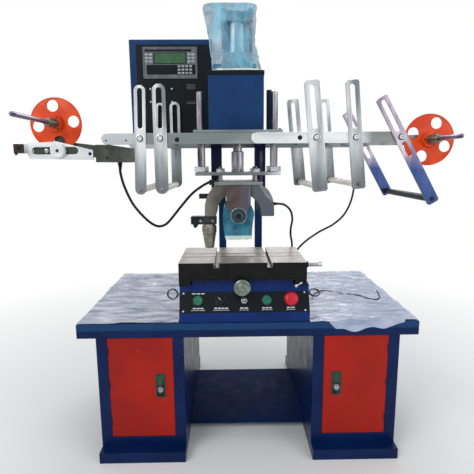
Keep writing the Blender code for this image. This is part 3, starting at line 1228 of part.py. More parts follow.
def side_bar_right():
    outline = bar_outline(SIDE_BAR_LEFT_X, SIDE_BAR_RIGHT_X, BEAM_BOTTOM_Z, BEAM_TOP_Z, True, False)
    bar = prism("side_bar_right", outline, "Y", SIDE_BAR_FRONT_Y, SIDE_BAR_FRONT_Y + BEAM_THICK, "aluminium")
    spots = [frame[1] for frame in GUIDE_FRAMES if frame[1] > HEAD_X]
    return cut(bar, *pivot_cutters(spots, SIDE_BAR_FRONT_Y, BEAM_THICK))


def cross_beam_rear():
    outline = bar_outline(BEAM_LEFT_X, SIDE_BAR_RIGHT_X, BEAM_BOTTOM_Z, BEAM_TOP_Z, True, True)
    beam = prism("cross_beam_rear", outline, "Y", REAR_BEAM_Y, REAR_BEAM_Y + BEAM_THICK, "aluminium")
    return cut(beam, *pivot_cutters([frame[1] for frame in GUIDE_FRAMES], REAR_BEAM_Y, BEAM_THICK))


def guide_outline(above, below, width, round_ends):
    half = width / 2
    if round_ends:
        return arc(0.0, above - half, half, 0, 180, 8) + arc(0.0, half - below, half, 180, 360, 8)
    chamfer = width / 8
    return [(half, chamfer - below), (half, above - chamfer), (half - chamfer, above),
            (chamfer - half, above),
            (-half, above - chamfer), (-half, chamfer - below), (chamfer - half, -below), (half - chamfer,
                                                                                           -below)]


def slot_outline(top, bottom, width):
    half = width / 2
    return arc(0.0, top - half, half, 0, 180, 6) + arc(0.0, bottom + half, half, 180, 360, 6)


def tie_bar_height(below):
    return GUIDE_ROLLER_R * 1.3 - below


def guide_frame(label, pivot_x, tilt, above, below, width, slot_width, slot_low, round_ends):
    """Two slotted plates, one on each beam, joined by the pivot bolt and by the roller's bar."""
    front_y = LEFT_PLATE_FRONT_Y if pivot_x < HEAD_X else RIGHT_PLATE_FRONT_Y
    rear_y = REAR_PLATE_Y
    lap = GUIDE_PLATE_THICK / 2
    outline = guide_outline(above, below, width, round_ends)
    body = prism("guide_frame_" + label, outline, "Y", front_y, front_y + GUIDE_PLATE_THICK, "aluminium")
    rear = prism("rear", outline, "Y", rear_y, rear_y + GUIDE_PLATE_THICK)
    bar_z = tie_bar_height(below)
    head = turned("head", ((0.0, PIVOT_HEAD_R * 0.6), (PIVOT_HEAD_THICK * 0.6, PIVOT_HEAD_R * 0.6),
                           (PIVOT_HEAD_THICK * 0.6, PIVOT_HEAD_R), (PIVOT_HEAD_THICK + lap, PIVOT_HEAD_R)),
                  (0.0, front_y - PIVOT_HEAD_THICK, 0.0), (0, 1, 0), 12)
    nut = rod("nut", (0.0, rear_y + lap, 0.0), (0, 1, 0), lap + REAR_NUT_THICK, PIVOT_HEAD_R * 0.8, 6)
    bolt = rod("bolt", (0.0, front_y + lap, 0.0), (0, 1, 0), rear_y - front_y, PIVOT_R, 12)
    bar = rod("bar", (0.0, front_y + lap, bar_z), (0, 1, 0), rear_y - front_y, TIE_BAR_R, 12)
    cap = rod("cap", (0.0, front_y - PIVOT_HEAD_THICK / 2, bar_z), (0, 1, 0), lap + PIVOT_HEAD_THICK / 2,
              PIVOT_HEAD_R * 0.6, 8)
    join(body, rear, head, nut, bolt, bar, cap)
    slot = prism("slot", slot_outline(above - width / 4, slot_low, slot_width), "Y", front_y - CUT_OVERRUN,
                 rear_y + GUIDE_PLATE_THICK + CUT_OVERRUN)
    cut(body, slot)
    if label == "right_outer":
        outline = slot_outline(-OUTER_SLOT_TOP, -OUTER_SLOT_LOW, slot_width)
        lower = prism("lower_slot", outline, "Y", front_y - CUT_OVERRUN,
                      rear_y + GUIDE_PLATE_THICK + CUT_OVERRUN)
        cut(body, lower)
    body.location = (pivot_x, 0.0, BEAM_MID_Z)
    body.rotation_euler = (0.0, -math.radians(tilt), 0.0)
    return body


def guide_roller(label, pivot_x, tilt, below):
    front_y = (LEFT_PLATE_FRONT_Y if pivot_x < HEAD_X else RIGHT_PLATE_FRONT_Y) + GUIDE_PLATE_THICK
    length = REAR_PLATE_Y - front_y - 2 * END_PLAY
    start = front_y + END_PLAY
    outer = rod("guide_roller_" + label, (0.0, start, 0.0), (0, 1, 0), length, GUIDE_ROLLER_R, SMALL_ROUND,
                "bright_steel")
    bore = rod("bore", (0.0, start - CUT_OVERRUN, 0.0), (0, 1, 0), length + 2 * CUT_OVERRUN,
               TIE_BAR_R + RUNNING_GAP, 12)
    cut(outer, bore)
    angle = math.radians(tilt)
    reach = tie_bar_height(below)
    outer.location = (pivot_x - reach * math.sin(angle), 0.0, BEAM_MID_Z + reach * math.cos(angle))
    return outer


def reel_disc_rear(arm_front_y):
    return arm_front_y - REEL_BEARING_DEPTH / 2 - REEL_REAR_GAP


def left_arm_front_y():
    return REAR_BEAM_Y


def right_arm_front_y():
    return REAR_BEAM_Y - GAP - ARM_BAR_THICK


def reel_bearing(x, z, arm_front_y):
    return rod("bearing", (x, arm_front_y - REEL_BEARING_DEPTH / 2, z), (0, 1, 0),
               REEL_BEARING_DEPTH + ARM_BAR_THICK / 2,
               REEL_BEARING_R, 20)


def spindle_bore(x, z, arm_front_y):
    return rod("spindle_bore", (x, arm_front_y - REEL_BEARING_DEPTH, z), (0, 1, 0), REEL_BEARING_DEPTH * 3,
               SPINDLE_R + RUNNING_GAP, 12)


def arm_bracket_left():
    """A cross block under both beams, a front bar for the slotted arm and a rear arm up to the reel."""
    half = ARM_BLOCK_WIDTH / 2
    top = BEAM_BOTTOM_Z - GAP
    arm_y = left_arm_front_y()
    rear = arm_y + ARM_BAR_THICK
    block = box("arm_bracket_left", (ARM_BLOCK_X - half, FRONT_BEAM_Y, ARM_BLOCK_BOTTOM_Z),
                (ARM_BLOCK_X + half, rear, top),
                "cast_grey")
    bar_low = ARM_BAR_Z - ARM_BAR_HEIGHT / 2
    bar_high = ARM_BAR_Z + ARM_BAR_HEIGHT / 2
    parts = [box("front_bar", (ARM_BAR_END_X, FRONT_BEAM_Y, bar_low),
                 (ARM_BLOCK_X, FRONT_BEAM_Y + ARM_BAR_THICK, bar_high))]
    lean = ((ARM_BLOCK_X, bar_low), (ARM_BLOCK_X, bar_high),
            (-REEL_X + REEL_ARM_WIDTH, bar_high + REEL_ARM_WIDTH),
            (-REEL_X + REEL_ARM_WIDTH / 2, REEL_LEFT_Z), (-REEL_X - REEL_ARM_WIDTH / 2, REEL_LEFT_Z),
            (-REEL_X - REEL_ARM_WIDTH / 2, bar_high), (-REEL_X, bar_low))
    parts.append(prism("rear_arm", lean, "Y", arm_y, rear))
    parts.append(reel_bearing(-REEL_X, REEL_LEFT_Z, arm_y))
    join(block, *parts)
    stud = rod("stud_bore", (KNOB_X, FRONT_BEAM_Y - CUT_OVERRUN, ARM_BAR_Z), (0, 1, 0),
               ARM_BAR_THICK + 2 * CUT_OVERRUN,
               KNOB_STUD_R + RUNNING_GAP, 12)
    return cut(block, spindle_bore(-REEL_X, REEL_LEFT_Z, arm_y), stud)


def arm_bracket_right():
    """A bar bolted to the rear beam that carries the right reel's bearing."""
    arm_y = right_arm_front_y()
    low = REEL_RIGHT_Z - RIGHT_ARM_HEIGHT / 2
    high = REEL_RIGHT_Z + RIGHT_ARM_HEIGHT / 2
    square = min(high, HEAD_PLATE_Z - GAP)
    outline = bar_outline(RIGHT_ARM_START_X, REEL_X + RIGHT_ARM_HEIGHT / 2, low, high, False, True)
    bar = prism("arm_bracket_right", outline, "Y", arm_y, arm_y + ARM_BAR_THICK, "cast_grey")
    join(bar, reel_bearing(REEL_X, REEL_RIGHT_Z, arm_y))
    cutters = [spindle_bore(REEL_X, REEL_RIGHT_Z, arm_y)]
    cutters += pivot_cutters([f[1] for f in GUIDE_FRAMES if f[1] > RIGHT_ARM_START_X], arm_y, ARM_BAR_THICK)
    cutters.append(box("trim", (RIGHT_ARM_START_X - CUT_OVERRUN, arm_y - CUT_OVERRUN, square),
                       (RIGHT_ARM_START_X + BEAM_HEIGHT, arm_y + ARM_BAR_THICK + CUT_OVERRUN,
                        high + CUT_OVERRUN)))
    return cut(bar, *cutters)


def slide_arm():
    """A slotted arm held by the thumb knob, with a sensor block on its outer end."""
    rear = FRONT_BEAM_Y - GAP
    outline = [(SLIDE_ARM_LEFT_X + share * SLIDE_ARM_LENGTH,
                ARM_BAR_Z + rise_share * SLIDE_ARM_HALF_HEIGHT)
               for share, rise_share in SLIDE_ARM_OUTLINE_SHARES]
    plate = prism("slide_arm", outline, "Y", rear - SLIDE_ARM_THICK, rear, "aluminium")
    sensor = box("sensor", (SLIDE_ARM_LEFT_X - SENSOR_LENGTH, rear - SENSOR_DEPTH,
                            ARM_BAR_Z - SENSOR_HEIGHT / 4),
                 (SLIDE_ARM_LEFT_X + SENSOR_LENGTH / 2, rear, ARM_BAR_Z + 3 * SENSOR_HEIGHT / 4))
    join(plate, sensor)
    outline = bar_outline(SLOT_LEFT_X, SLOT_RIGHT_X, ARM_BAR_Z - SLOT_HEIGHT / 2,
                          ARM_BAR_Z + SLOT_HEIGHT / 2, True, True)
    slot = prism("slot", outline, "Y", rear - SLIDE_ARM_THICK - CUT_OVERRUN, rear + CUT_OVERRUN)
    cut(plate, slot)
    return moved_origin(plate, (SLIDE_ARM_RIGHT_X, rear, ARM_BAR_Z))


def arm_knob():
    """A thumb knob whose stud goes through the slot into the front bar."""
    face = FRONT_BEAM_Y - 2 * GAP - SLIDE_ARM_THICK
    profile = ((0.0, KNOB_R * 0.85), (KNOB_THICK * 0.25, KNOB_R), (KNOB_THICK, KNOB_R),
               (KNOB_THICK, KNOB_STUD_R),
               (KNOB_THICK + SLIDE_ARM_THICK + 2 * GAP + ARM_BAR_THICK, KNOB_STUD_R))
    made = turned("arm_knob", profile, (KNOB_X, face - KNOB_THICK, ARM_BAR_Z), (0, 1, 0), 24,
                  "white_plastic")
    return moved_origin(made, (KNOB_X, face, ARM_BAR_Z))


def reel(side):
    """A holed disc with its boss, a chuck and the spindle that the film roll sits on."""
    label = "left" if side < 0 else "right"
    z = REEL_LEFT_Z if side < 0 else REEL_RIGHT_Z
    arm_y = left_arm_front_y() if side < 0 else right_arm_front_y()
    rear = reel_disc_rear(arm_y)
    x = side * REEL_X
    tip = SPINDLE_LEFT_TIP_Y if side < 0 else SPINDLE_RIGHT_TIP_Y
    turn = REEL_LEFT_TURN if side < 0 else REEL_RIGHT_TURN
    tail = rear + REEL_BEARING_DEPTH / 2 + ARM_BAR_THICK - tip
    disc_front = rear - REEL_THICK - tip
    boss_front = disc_front - REEL_BOSS_THICK
    chuck_front = boss_front - CHUCK_LENGTH
    profile = ((0.0, SPINDLE_R * 0.8), (SPINDLE_R / 2, SPINDLE_R), (SPINDLE_COLLAR_LENGTH, SPINDLE_R),
               (SPINDLE_COLLAR_LENGTH, SPINDLE_COLLAR_R), (2 * SPINDLE_COLLAR_LENGTH, SPINDLE_COLLAR_R),
               (2 * SPINDLE_COLLAR_LENGTH, SPINDLE_R), (chuck_front, SPINDLE_R),
               (chuck_front, CHUCK_R * 0.8), (boss_front, CHUCK_R), (boss_front, REEL_BOSS_R * 0.9),
               (disc_front, REEL_BOSS_R),
               (disc_front, REEL_R), (rear - tip, REEL_R), (rear - tip, SPINDLE_R), (tail, SPINDLE_R))
    made = turned("reel_" + label, profile, (x, tip, z), (0, 1, 0), 40, "orange_plastic")
    holes = []
    for k in range(4):
        angle = math.radians(turn + 90 * k)
        place = (x + REEL_HOLE_PITCH_R * math.cos(angle), rear - REEL_THICK - CUT_OVERRUN,
                 z + REEL_HOLE_PITCH_R * math.sin(angle))
        holes.append(rod("hole", place, (0, 1, 0), REEL_THICK + 2 * CUT_OVERRUN, REEL_HOLE_R))
    cut(made, *holes)
    return moved_origin(made, (x, tip, z))


desk_top()
for side in (-1, 1):
    pedestal(side)
    door(side)
    lock(side)
foot_shelf()
desk_film()

console_box()
console_panel()
saddle_block()
worktable()
feed_screw()
handwheel()
for name, x in (("start_button_left", START_LEFT_X), ("start_button_right", START_RIGHT_X)):
    push_button(name, x, CONTROL_SLOPE_SHARE, START_CAP_R, START_CAP_THICK, "green_plastic")
push_button("stop_button", STOP_X, STOP_SLOPE_SHARE, STOP_CAP_R, STOP_CAP_THICK, "red_plastic")
selector_knob()
toggle_lever()

column_frame()
head_plate()
head_housing()
control_cabinet()
display_unit()
press_cylinder()
cylinder_bag()

piston_rod()
for side in (-1, 1):
    guide_rod(side)
carriage_plate()
heating_hood()
bearing_plate(True)
bearing_plate(False)
press_roller()
roller_wrap()
hot_air_nozzle()

cross_beam_front()
side_bar_right()
cross_beam_rear()
for label, pivot_x, tilt, above, below, width, slot_width, slot_low, round_ends in GUIDE_FRAMES:
    guide_frame(label, pivot_x, tilt, above, below, width, slot_width, slot_low, round_ends)
    guide_roller(label, pivot_x, tilt, below)
arm_bracket_left()
arm_bracket_right()
slide_arm()
arm_knob()
for side in (-1, 1):
    reel(side)

cord("cable_left", CABLE_LEFT_ROUTE, CABLE_LEFT_R, "black_rubber")
cord("cable_right", CABLE_RIGHT_ROUTE, CABLE_R, "black_rubber")
cord("hood_cable", HOOD_CABLE_ROUTE, CABLE_R, "black_rubber")
cord("desk_wire", DESK_WIRE_ROUTE, WIRE_R, "black_rubber")

bpy.context.view_layer.update()
print("nodes", sum(1 for o in bpy.data.objects if o.type in ("MESH", "CURVE")))
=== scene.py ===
import json
import math

import bmesh
import bpy
from mathutils import Matrix, Vector, noise
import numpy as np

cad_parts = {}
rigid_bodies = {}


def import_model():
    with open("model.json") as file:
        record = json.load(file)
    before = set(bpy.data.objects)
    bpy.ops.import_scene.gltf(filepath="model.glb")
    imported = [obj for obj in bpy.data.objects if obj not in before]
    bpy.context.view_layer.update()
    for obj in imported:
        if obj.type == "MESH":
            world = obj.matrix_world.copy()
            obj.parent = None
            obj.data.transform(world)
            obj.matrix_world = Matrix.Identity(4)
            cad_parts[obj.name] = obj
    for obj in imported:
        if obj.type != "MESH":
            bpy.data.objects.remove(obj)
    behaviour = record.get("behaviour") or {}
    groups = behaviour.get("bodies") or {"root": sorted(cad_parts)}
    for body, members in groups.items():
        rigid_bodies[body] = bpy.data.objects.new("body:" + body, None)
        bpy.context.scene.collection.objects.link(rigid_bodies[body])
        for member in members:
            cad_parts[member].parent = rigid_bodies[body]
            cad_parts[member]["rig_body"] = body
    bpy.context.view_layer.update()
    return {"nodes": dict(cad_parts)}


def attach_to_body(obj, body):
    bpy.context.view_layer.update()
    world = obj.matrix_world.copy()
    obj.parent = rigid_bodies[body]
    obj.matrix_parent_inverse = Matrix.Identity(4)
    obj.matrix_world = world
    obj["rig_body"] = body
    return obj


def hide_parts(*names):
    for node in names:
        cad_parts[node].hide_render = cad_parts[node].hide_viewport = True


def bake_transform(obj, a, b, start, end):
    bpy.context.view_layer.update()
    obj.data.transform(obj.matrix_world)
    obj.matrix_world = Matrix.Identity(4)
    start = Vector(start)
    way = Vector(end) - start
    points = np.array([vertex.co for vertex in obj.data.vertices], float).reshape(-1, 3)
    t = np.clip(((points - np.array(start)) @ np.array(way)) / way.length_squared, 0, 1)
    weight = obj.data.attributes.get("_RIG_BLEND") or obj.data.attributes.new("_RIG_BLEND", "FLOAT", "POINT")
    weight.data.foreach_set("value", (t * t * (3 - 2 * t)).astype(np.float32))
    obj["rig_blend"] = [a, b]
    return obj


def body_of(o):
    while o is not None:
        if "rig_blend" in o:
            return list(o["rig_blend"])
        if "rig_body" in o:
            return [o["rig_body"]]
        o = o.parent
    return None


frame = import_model()
cadNodes = frame["nodes"]
scene = bpy.context.scene
scene.view_settings.view_transform = "Standard"
origin = (0, 0, 0)
toRight, toRear, toTop = (1, 0, 0), (0, 1, 0), (0, 0, 1)
toFront, toFloor = (0, -1, 0), (0, 0, -1)
plainStretch = (1.0, 1.0, 1.0)


def tint(red, green, blue):
    # screen values, 0 to 255, to the linear ones that shaders take
    straight = []
    for value in (red, green, blue):
        share = value / 255
        straight.append(share / 12.92 if share <= 0.04045 else ((share + 0.055) / 1.055) ** 2.4)
    return (*straight, 1.0)


def look(colour, worn, patch, rough, grain, depth, **more):
    return dict(colour=colour, worn=worn, patch=patch, rough=rough, grain=grain, depth=depth, **more)


# finishes
# a look is its colour, its worn colour, the size of its patches in metres, its least and most roughness,
# the size of its grain in metres and how deep that is; stretch squeezes the pattern along an axis, a scuff
# is (colour, share), and each fade is (axis, where it starts, where it is full, its colour, how much of it)

finishLooks = {
    # benchBlue's fade is a painted highlight: a lighter band along the top of the desk's front face
    "benchBlue": look((6, 34, 82), (3, 25, 68), 0.16, (0.24, 0.40), 0.004, 0.08, coat=0.04, spec=0.14,
        scuff=((40, 70, 116), 0.004), fades=((2, 0.5215, 0.5265, (20, 60, 104), 1.0),)),
    "consoleBlue": look((10, 44, 108), (7, 36, 94), 0.10, (0.24, 0.38), 0.003, 0.08, coat=0.04, spec=0.14,
        scuff=((50, 84, 140), 0.004)),
    "shelfBlue": look((8, 36, 82), (5, 28, 68), 0.10, (0.55, 0.72), 0.003, 0.10, spec=0.06,
        scuff=((26, 56, 104), 0.006)),
    "housingBlue": look((18, 59, 106), (13, 48, 92), 0.12, (0.34, 0.48), 0.003, 0.08, coat=0.02, spec=0.14,
        scuff=((50, 88, 140), 0.004)),
    "navyPost": look((21, 23, 64), (14, 16, 50), 0.08, (0.32, 0.48), 0.003, 0.10, coat=0.03, spec=0.14,
        scuff=((60, 66, 110), 0.010), fades=((2, 0.990, 0.975, (22, 58, 104), 1.0),)),
    "doorRed": look((168, 25, 9), (148, 20, 8), 0.20, (0.28, 0.42), 0.004, 0.07, coat=0.06, spec=0.2,
        scuff=((206, 84, 60), 0.003)),
    "blackSteel": look((13, 14, 16), (24, 25, 27), 0.05, (0.36, 0.56), 0.0025, 0.15, coat=0.02, spec=0.12,
        scuff=((74, 72, 68), 0.015)),
    "panelBlack": look((9, 16, 22), (14, 21, 28), 0.09, (0.30, 0.44), 0.0012, 0.06, coat=0.03, spec=0.12),
    # beamGrey's fade is a painted highlight: the beams lighter towards their left ends
    "beamGrey": look((152, 158, 160), (120, 130, 132), 0.06, (0.30, 0.46), 0.0018, 0.10, metal=0.6,
        stretch=(0.2, 1.0, 1.0), fades=((0, -0.385, -0.395, (188, 194, 198), 0.85),)),
    "barPolished": look((232, 235, 237), (190, 196, 200), 0.05, (0.14, 0.30), 0.0016, 0.08, metal=0.75,
        stretch=(0.18, 1.0, 1.0)),
    # sideBar's fade is a painted dark reflection: the polished side bar darker towards its right end
    "sideBar": look((238, 241, 243), (206, 212, 216), 0.05, (0.14, 0.30), 0.0016, 0.08, metal=0.75,
        stretch=(0.18, 1.0, 1.0), fades=((0, 0.405, 0.455, (112, 118, 114), 0.85),)),
    "brushedAlu": look((190, 196, 198), (140, 150, 154), 0.05, (0.20, 0.40), 0.0018, 0.10, metal=0.85,
        stretch=(0.25, 1.0, 1.0)),
    # plateAlu's fade is painted shade: the guide frame plates darker towards their lower ends
    "plateAlu": look((222, 226, 228), (124, 134, 140), 0.045, (0.16, 0.34), 0.0015, 0.10, metal=0.8,
        stretch=(1.0, 1.0, 0.16), fades=((2, 1.200, 1.070, (112, 118, 122), 0.85),)),
    # plateViolet's fade is a painted reflection: the outer right guide frame turning blue towards its lower
    # end
    "plateViolet": look((206, 192, 206), (132, 124, 148), 0.045, (0.18, 0.34), 0.0015, 0.10, metal=0.75,
        stretch=(1.0, 1.0, 0.2), fades=((2, 1.170, 1.115, (42, 76, 138), 0.92),)),
    "chrome": look((205, 207, 210), (150, 153, 158), 0.03, (0.10, 0.22), 0.0012, 0.04, metal=0.95),
    "rodSteel": look((170, 170, 176), (98, 94, 102), 0.022, (0.16, 0.30), 0.001, 0.05, metal=0.9,
        stretch=(1.0, 1.0, 0.15)),
    "spindleSteel": look((136, 126, 148), (92, 84, 104), 0.02, (0.20, 0.34), 0.001, 0.05, metal=0.8,
        stretch=(1.0, 0.2, 1.0)),
    "chuckSteel": look((128, 138, 124), (92, 102, 90), 0.02, (0.22, 0.38), 0.001, 0.08, metal=0.75,
        stretch=(1.0, 0.3, 1.0)),
    "wheelSteel": look((142, 152, 144), (104, 114, 106), 0.018, (0.22, 0.38), 0.001, 0.08, metal=0.75),
    "darkSteel": look((64, 66, 69), (36, 38, 41), 0.02, (0.30, 0.5), 0.001, 0.12, metal=0.7, spec=0.2),
    # hoodCasting's fades are painted light: a painted highlight towards the hood's left edge and a painted
    # bluish reflection over its right part; its scuffs are dirt
    "hoodCasting": look((98, 95, 92), (70, 66, 63), 0.05, (0.50, 0.68), 0.0022, 0.30, metal=0.2, spec=0.2,
        scuff=((56, 50, 47), 0.03), fades=((0, -0.110, -0.155, (124, 122, 113), 0.8),
        (0, -0.020, 0.050, (86, 93, 106), 0.8))),
    # hoodBevel paints highlights: the lit chamfer of the hood's shoulder and the lit right edge of the front
    # bearing plate
    "hoodBevel": look((134, 142, 144), (108, 116, 120), 0.02, (0.30, 0.44), 0.0014, 0.10, metal=0.5),
    "flangeSteel": look((142, 151, 151), (112, 122, 122), 0.03, (0.28, 0.44), 0.0014, 0.10, metal=0.7,
        stretch=(0.2, 1.0, 1.0)),
    # carriageSteel's fade is a painted highlight: the carriage plate much lighter towards its right end
    "carriageSteel": look((134, 142, 144), (104, 112, 116), 0.03, (0.26, 0.42), 0.0014, 0.10, metal=0.7,
        stretch=(0.2, 1.0, 1.0), fades=((0, 0.060, 0.120, (214, 220, 224), 0.9),)),
    # bearingPlate's fade is a painted bluish reflection over the right part of the bearing plates
    "bearingPlate": look((94, 79, 78), (76, 62, 62), 0.035, (0.36, 0.52), 0.0015, 0.14, metal=0.3,
        spec=0.25, fades=((0, -0.034, 0.000, (82, 88, 106), 0.8),)),
    "bossTeal": look((52, 72, 82), (40, 58, 68), 0.012, (0.36, 0.5), 0.001, 0.10, metal=0.3, spec=0.2),
    "castGrey": look((150, 156, 158), (98, 104, 106), 0.035, (0.32, 0.52), 0.0018, 0.25, metal=0.6,
        scuff=((60, 64, 66), 0.03)),
    "bracketOlive": look((76, 81, 70), (56, 61, 52), 0.035, (0.40, 0.58), 0.0018, 0.20, metal=0.25,
        spec=0.2, scuff=((104, 108, 98), 0.010)),
    # nozzleGrey's fade is painted shade: the nozzle darker on its right side
    "nozzleGrey": look((144, 143, 131), (108, 106, 96), 0.018, (0.30, 0.50), 0.0014, 0.15, metal=0.4,
        fades=((0, -0.139, -0.129, (52, 54, 52), 0.85),)),
    "reelOrange": look((236, 82, 20), (212, 58, 12), 0.06, (0.32, 0.46), 0.002, 0.08, coat=0.08, spec=0.25,
        scuff=((244, 140, 96), 0.010)),
    "siliconeTeal": look((34, 104, 130), (22, 80, 102), 0.04, (0.36, 0.52), 0.0016, 0.10, spec=0.2),
    "capGreen": look((20, 116, 88), (12, 90, 66), 0.012, (0.24, 0.36), 0.0012, 0.05, coat=0.15, spec=0.3),
    "capRed": look((204, 20, 44), (174, 12, 32), 0.02, (0.24, 0.36), 0.0014, 0.05, coat=0.15, spec=0.3),
    "knobWhite": look((228, 230, 232), (198, 202, 206), 0.018, (0.28, 0.42), 0.0014, 0.05, coat=0.1),
    "rollerCream": look((236, 232, 216), (222, 218, 202), 0.06, (0.22, 0.36), 0.0012, 0.06, metal=0.3,
        stretch=(1.0, 0.5, 1.0)),
    "plasticBlack": look((18, 19, 21), (30, 32, 34), 0.012, (0.36, 0.54), 0.0008, 0.10, spec=0.15),
    "frameGrey": look((110, 116, 124), (88, 93, 100), 0.03, (0.32, 0.46), 0.0012, 0.06, coat=0.05,
        spec=0.25),
    "keyPale": look((176, 182, 186), (150, 156, 160), 0.006, (0.36, 0.50), 0.0008, 0.06),
    "markPale": look((214, 222, 226), (188, 196, 202), 0.004, (0.40, 0.52), 0.0006, 0.04),
    "glassGreen": look((52, 104, 62), (40, 84, 50), 0.02, (0.10, 0.18), 0.0006, 0.02, coat=0.3, spec=0.3),
    "lockGreen": look((62, 92, 72), (44, 70, 54), 0.012, (0.26, 0.42), 0.001, 0.10, metal=0.5, spec=0.3),
    "cableBlack": look((16, 16, 18), (30, 30, 32), 0.012, (0.45, 0.62), 0.0009, 0.12, spec=0.2),
    "sensorBrown": look((62, 50, 38), (44, 36, 28), 0.012, (0.42, 0.58), 0.001, 0.12, spec=0.2),
    "ringSteel": look((116, 120, 126), (70, 74, 82), 0.008, (0.22, 0.36), 0.001, 0.05, metal=0.85),
}
filmLooks = {
    "deskFilm": dict(pale=(204, 209, 220), deep=(128, 141, 170), patch=0.05, facet=0.035,
        stretch=(0.5, 1.4, 1.0), alpha=(0.80, 0.97), rough=(0.14, 0.36), crinkle=0.55, coat=0.3, spec=0.4,
        fades=((0, 0.10, 0.38, (168, 184, 214), 0.6),)),
    "bagFilm": dict(pale=(120, 196, 222), deep=(20, 98, 136), patch=0.045, facet=0.022,
        stretch=(1.0, 1.0, 0.5), alpha=(0.36, 0.72), rough=(0.10, 0.26), crinkle=0.6, coat=0.15, spec=0.35),
    "wrapFilm": dict(pale=(44, 122, 146), deep=(16, 82, 108), patch=0.03, facet=0.020,
        stretch=(1.0, 0.6, 0.6), alpha=(0.92, 0.99), rough=(0.14, 0.30), crinkle=0.5, coat=0.1, spec=0.3,
        fades=((2, 0.8735, 0.8695, (204, 222, 212), 0.9),)),
}
groundLook = dict(top=(172, 168, 166), topWorn=(122, 116, 114), side=(13, 13, 14), sideWorn=(22, 22, 23),
    topHeight=0.7771, slotPlaces=(-0.119, 0.081), slotHalf=0.0104, slotFloor=0.7592, edge=0.0002)


def setSocket(tree, socket, value):
    if isinstance(value, bpy.types.NodeSocket):
        tree.links.new(value, socket)
    else:
        socket.default_value = value


def addNode(tree, kind, inputs, output=0, **settings):
    node = tree.nodes.new(kind)
    for name, value in settings.items():
        setattr(node, name, value)
    for key, value in inputs.items():
        setSocket(tree, node.inputs[key], value)
    return node.outputs[output]


def mathNode(tree, operation, *values):
    return addNode(tree, "ShaderNodeMath", dict(enumerate(values)), operation=operation)


def cloudNode(tree, vector, size, detail=4.0):
    return addNode(tree, "ShaderNodeTexNoise", {"Vector": vector, "Scale": 1.0 / size, "Detail": detail})


def rangeNode(tree, source, low, high, start=0.0, end=1.0):
    return addNode(tree, "ShaderNodeMapRange", {"Value": source, "From Min": low, "From Max": high,
        "To Min": start, "To Max": end})


def mixNode(tree, share, first, second):
    return addNode(tree, "ShaderNodeMix", {0: share, 6: first, 7: second}, 2, data_type="RGBA")


def objectVector(tree, stretch=plainStretch):
    place = addNode(tree, "ShaderNodeTexCoord", {}, "Object")
    return addNode(tree, "ShaderNodeMapping", {"Vector": place, "Scale": stretch}, "Vector")


def placeAlong(tree, axis):
    return addNode(tree, "ShaderNodeSeparateXYZ", {0: objectVector(tree)}, axis)


def bumpNode(tree, height, strength, distance):
    return addNode(tree, "ShaderNodeBump", {"Height": height, "Strength": strength, "Distance": distance},
        "Normal")


def fadeColour(tree, colour, fades=()):
    for axis, start, full, other, most in fades:
        share = rangeNode(tree, placeAlong(tree, axis), start, full, 0.0, most)
        colour = mixNode(tree, share, colour, tint(*other))
    return colour


def newFinish(name):
    finish = bpy.data.materials.new(name)
    finish.use_nodes = True
    return finish, finish.node_tree


def fillShader(tree, inputs):
    for key, value in inputs.items():
        setSocket(tree, tree.nodes["Principled BSDF"].inputs[key], value)


def makeFinish(name, facts):
    finish, tree = newFinish(name)
    vector = objectVector(tree, facts.get("stretch", plainStretch))
    patches = rangeNode(tree, cloudNode(tree, vector, facts["patch"]), 0.36, 0.64)
    colour = mixNode(tree, patches, tint(*facts["worn"]), tint(*facts["colour"]))
    if "scuff" in facts:
        scuff, share = facts["scuff"]
        spots = cloudNode(tree, objectVector(tree), facts["patch"] * 0.22, 6.0)
        edge = 0.72 - share * 2
        colour = mixNode(tree, rangeNode(tree, spots, edge, edge + 0.05), colour, tint(*scuff))
    grain = cloudNode(tree, vector, facts["grain"], 5.0)
    shine = cloudNode(tree, vector, facts["patch"] * 0.5, 5.0)
    fillShader(tree, {"Base Color": fadeColour(tree, colour, facts.get("fades", ())),
        "Roughness": rangeNode(tree, shine, 0.3, 0.7, *facts["rough"]),
        "Normal": bumpNode(tree, grain, facts["depth"], facts["grain"] * 0.25),
        "Metallic": facts.get("metal", 0.0), "Specular IOR Level": facts.get("spec", 0.5),
        "Coat Weight": facts.get("coat", 0.0), "Coat Roughness": 0.12})
    return finish


def makeTableFinish(name, facts):
    # black painted sides with a ground top and ground slots, told apart by height and place
    finish, tree = newFinish(name)
    across, height = placeAlong(tree, 0), placeAlong(tree, 2)
    edge = facts["edge"]
    mask = rangeNode(tree, height, facts["topHeight"] - edge, facts["topHeight"])
    above = rangeNode(tree, height, facts["slotFloor"] - edge, facts["slotFloor"])
    for place in facts["slotPlaces"]:
        away = mathNode(tree, "ABSOLUTE", mathNode(tree, "SUBTRACT", across, place))
        inside = rangeNode(tree, away, facts["slotHalf"] + edge, facts["slotHalf"])
        mask = mathNode(tree, "MAXIMUM", mask, mathNode(tree, "MULTIPLY", inside, above))
    ground = cloudNode(tree, objectVector(tree, (0.08, 1.0, 1.0)), 0.0022, 6.0)
    patches = cloudNode(tree, objectVector(tree), 0.05)
    top = mixNode(tree, rangeNode(tree, ground, 0.3, 0.7), tint(*facts["topWorn"]), tint(*facts["top"]))
    side = mixNode(tree, rangeNode(tree, patches, 0.35, 0.65), tint(*facts["side"]),
        tint(*facts["sideWorn"]))
    fillShader(tree, {"Base Color": mixNode(tree, mask, side, top),
        "Metallic": rangeNode(tree, mask, 0.0, 1.0, 0.0, 0.75),
        "Roughness": rangeNode(tree, patches, 0.3, 0.7, 0.30, 0.46),
        "Normal": bumpNode(tree, ground, 0.12, 0.0005), "Specular IOR Level": 0.15})
    return finish


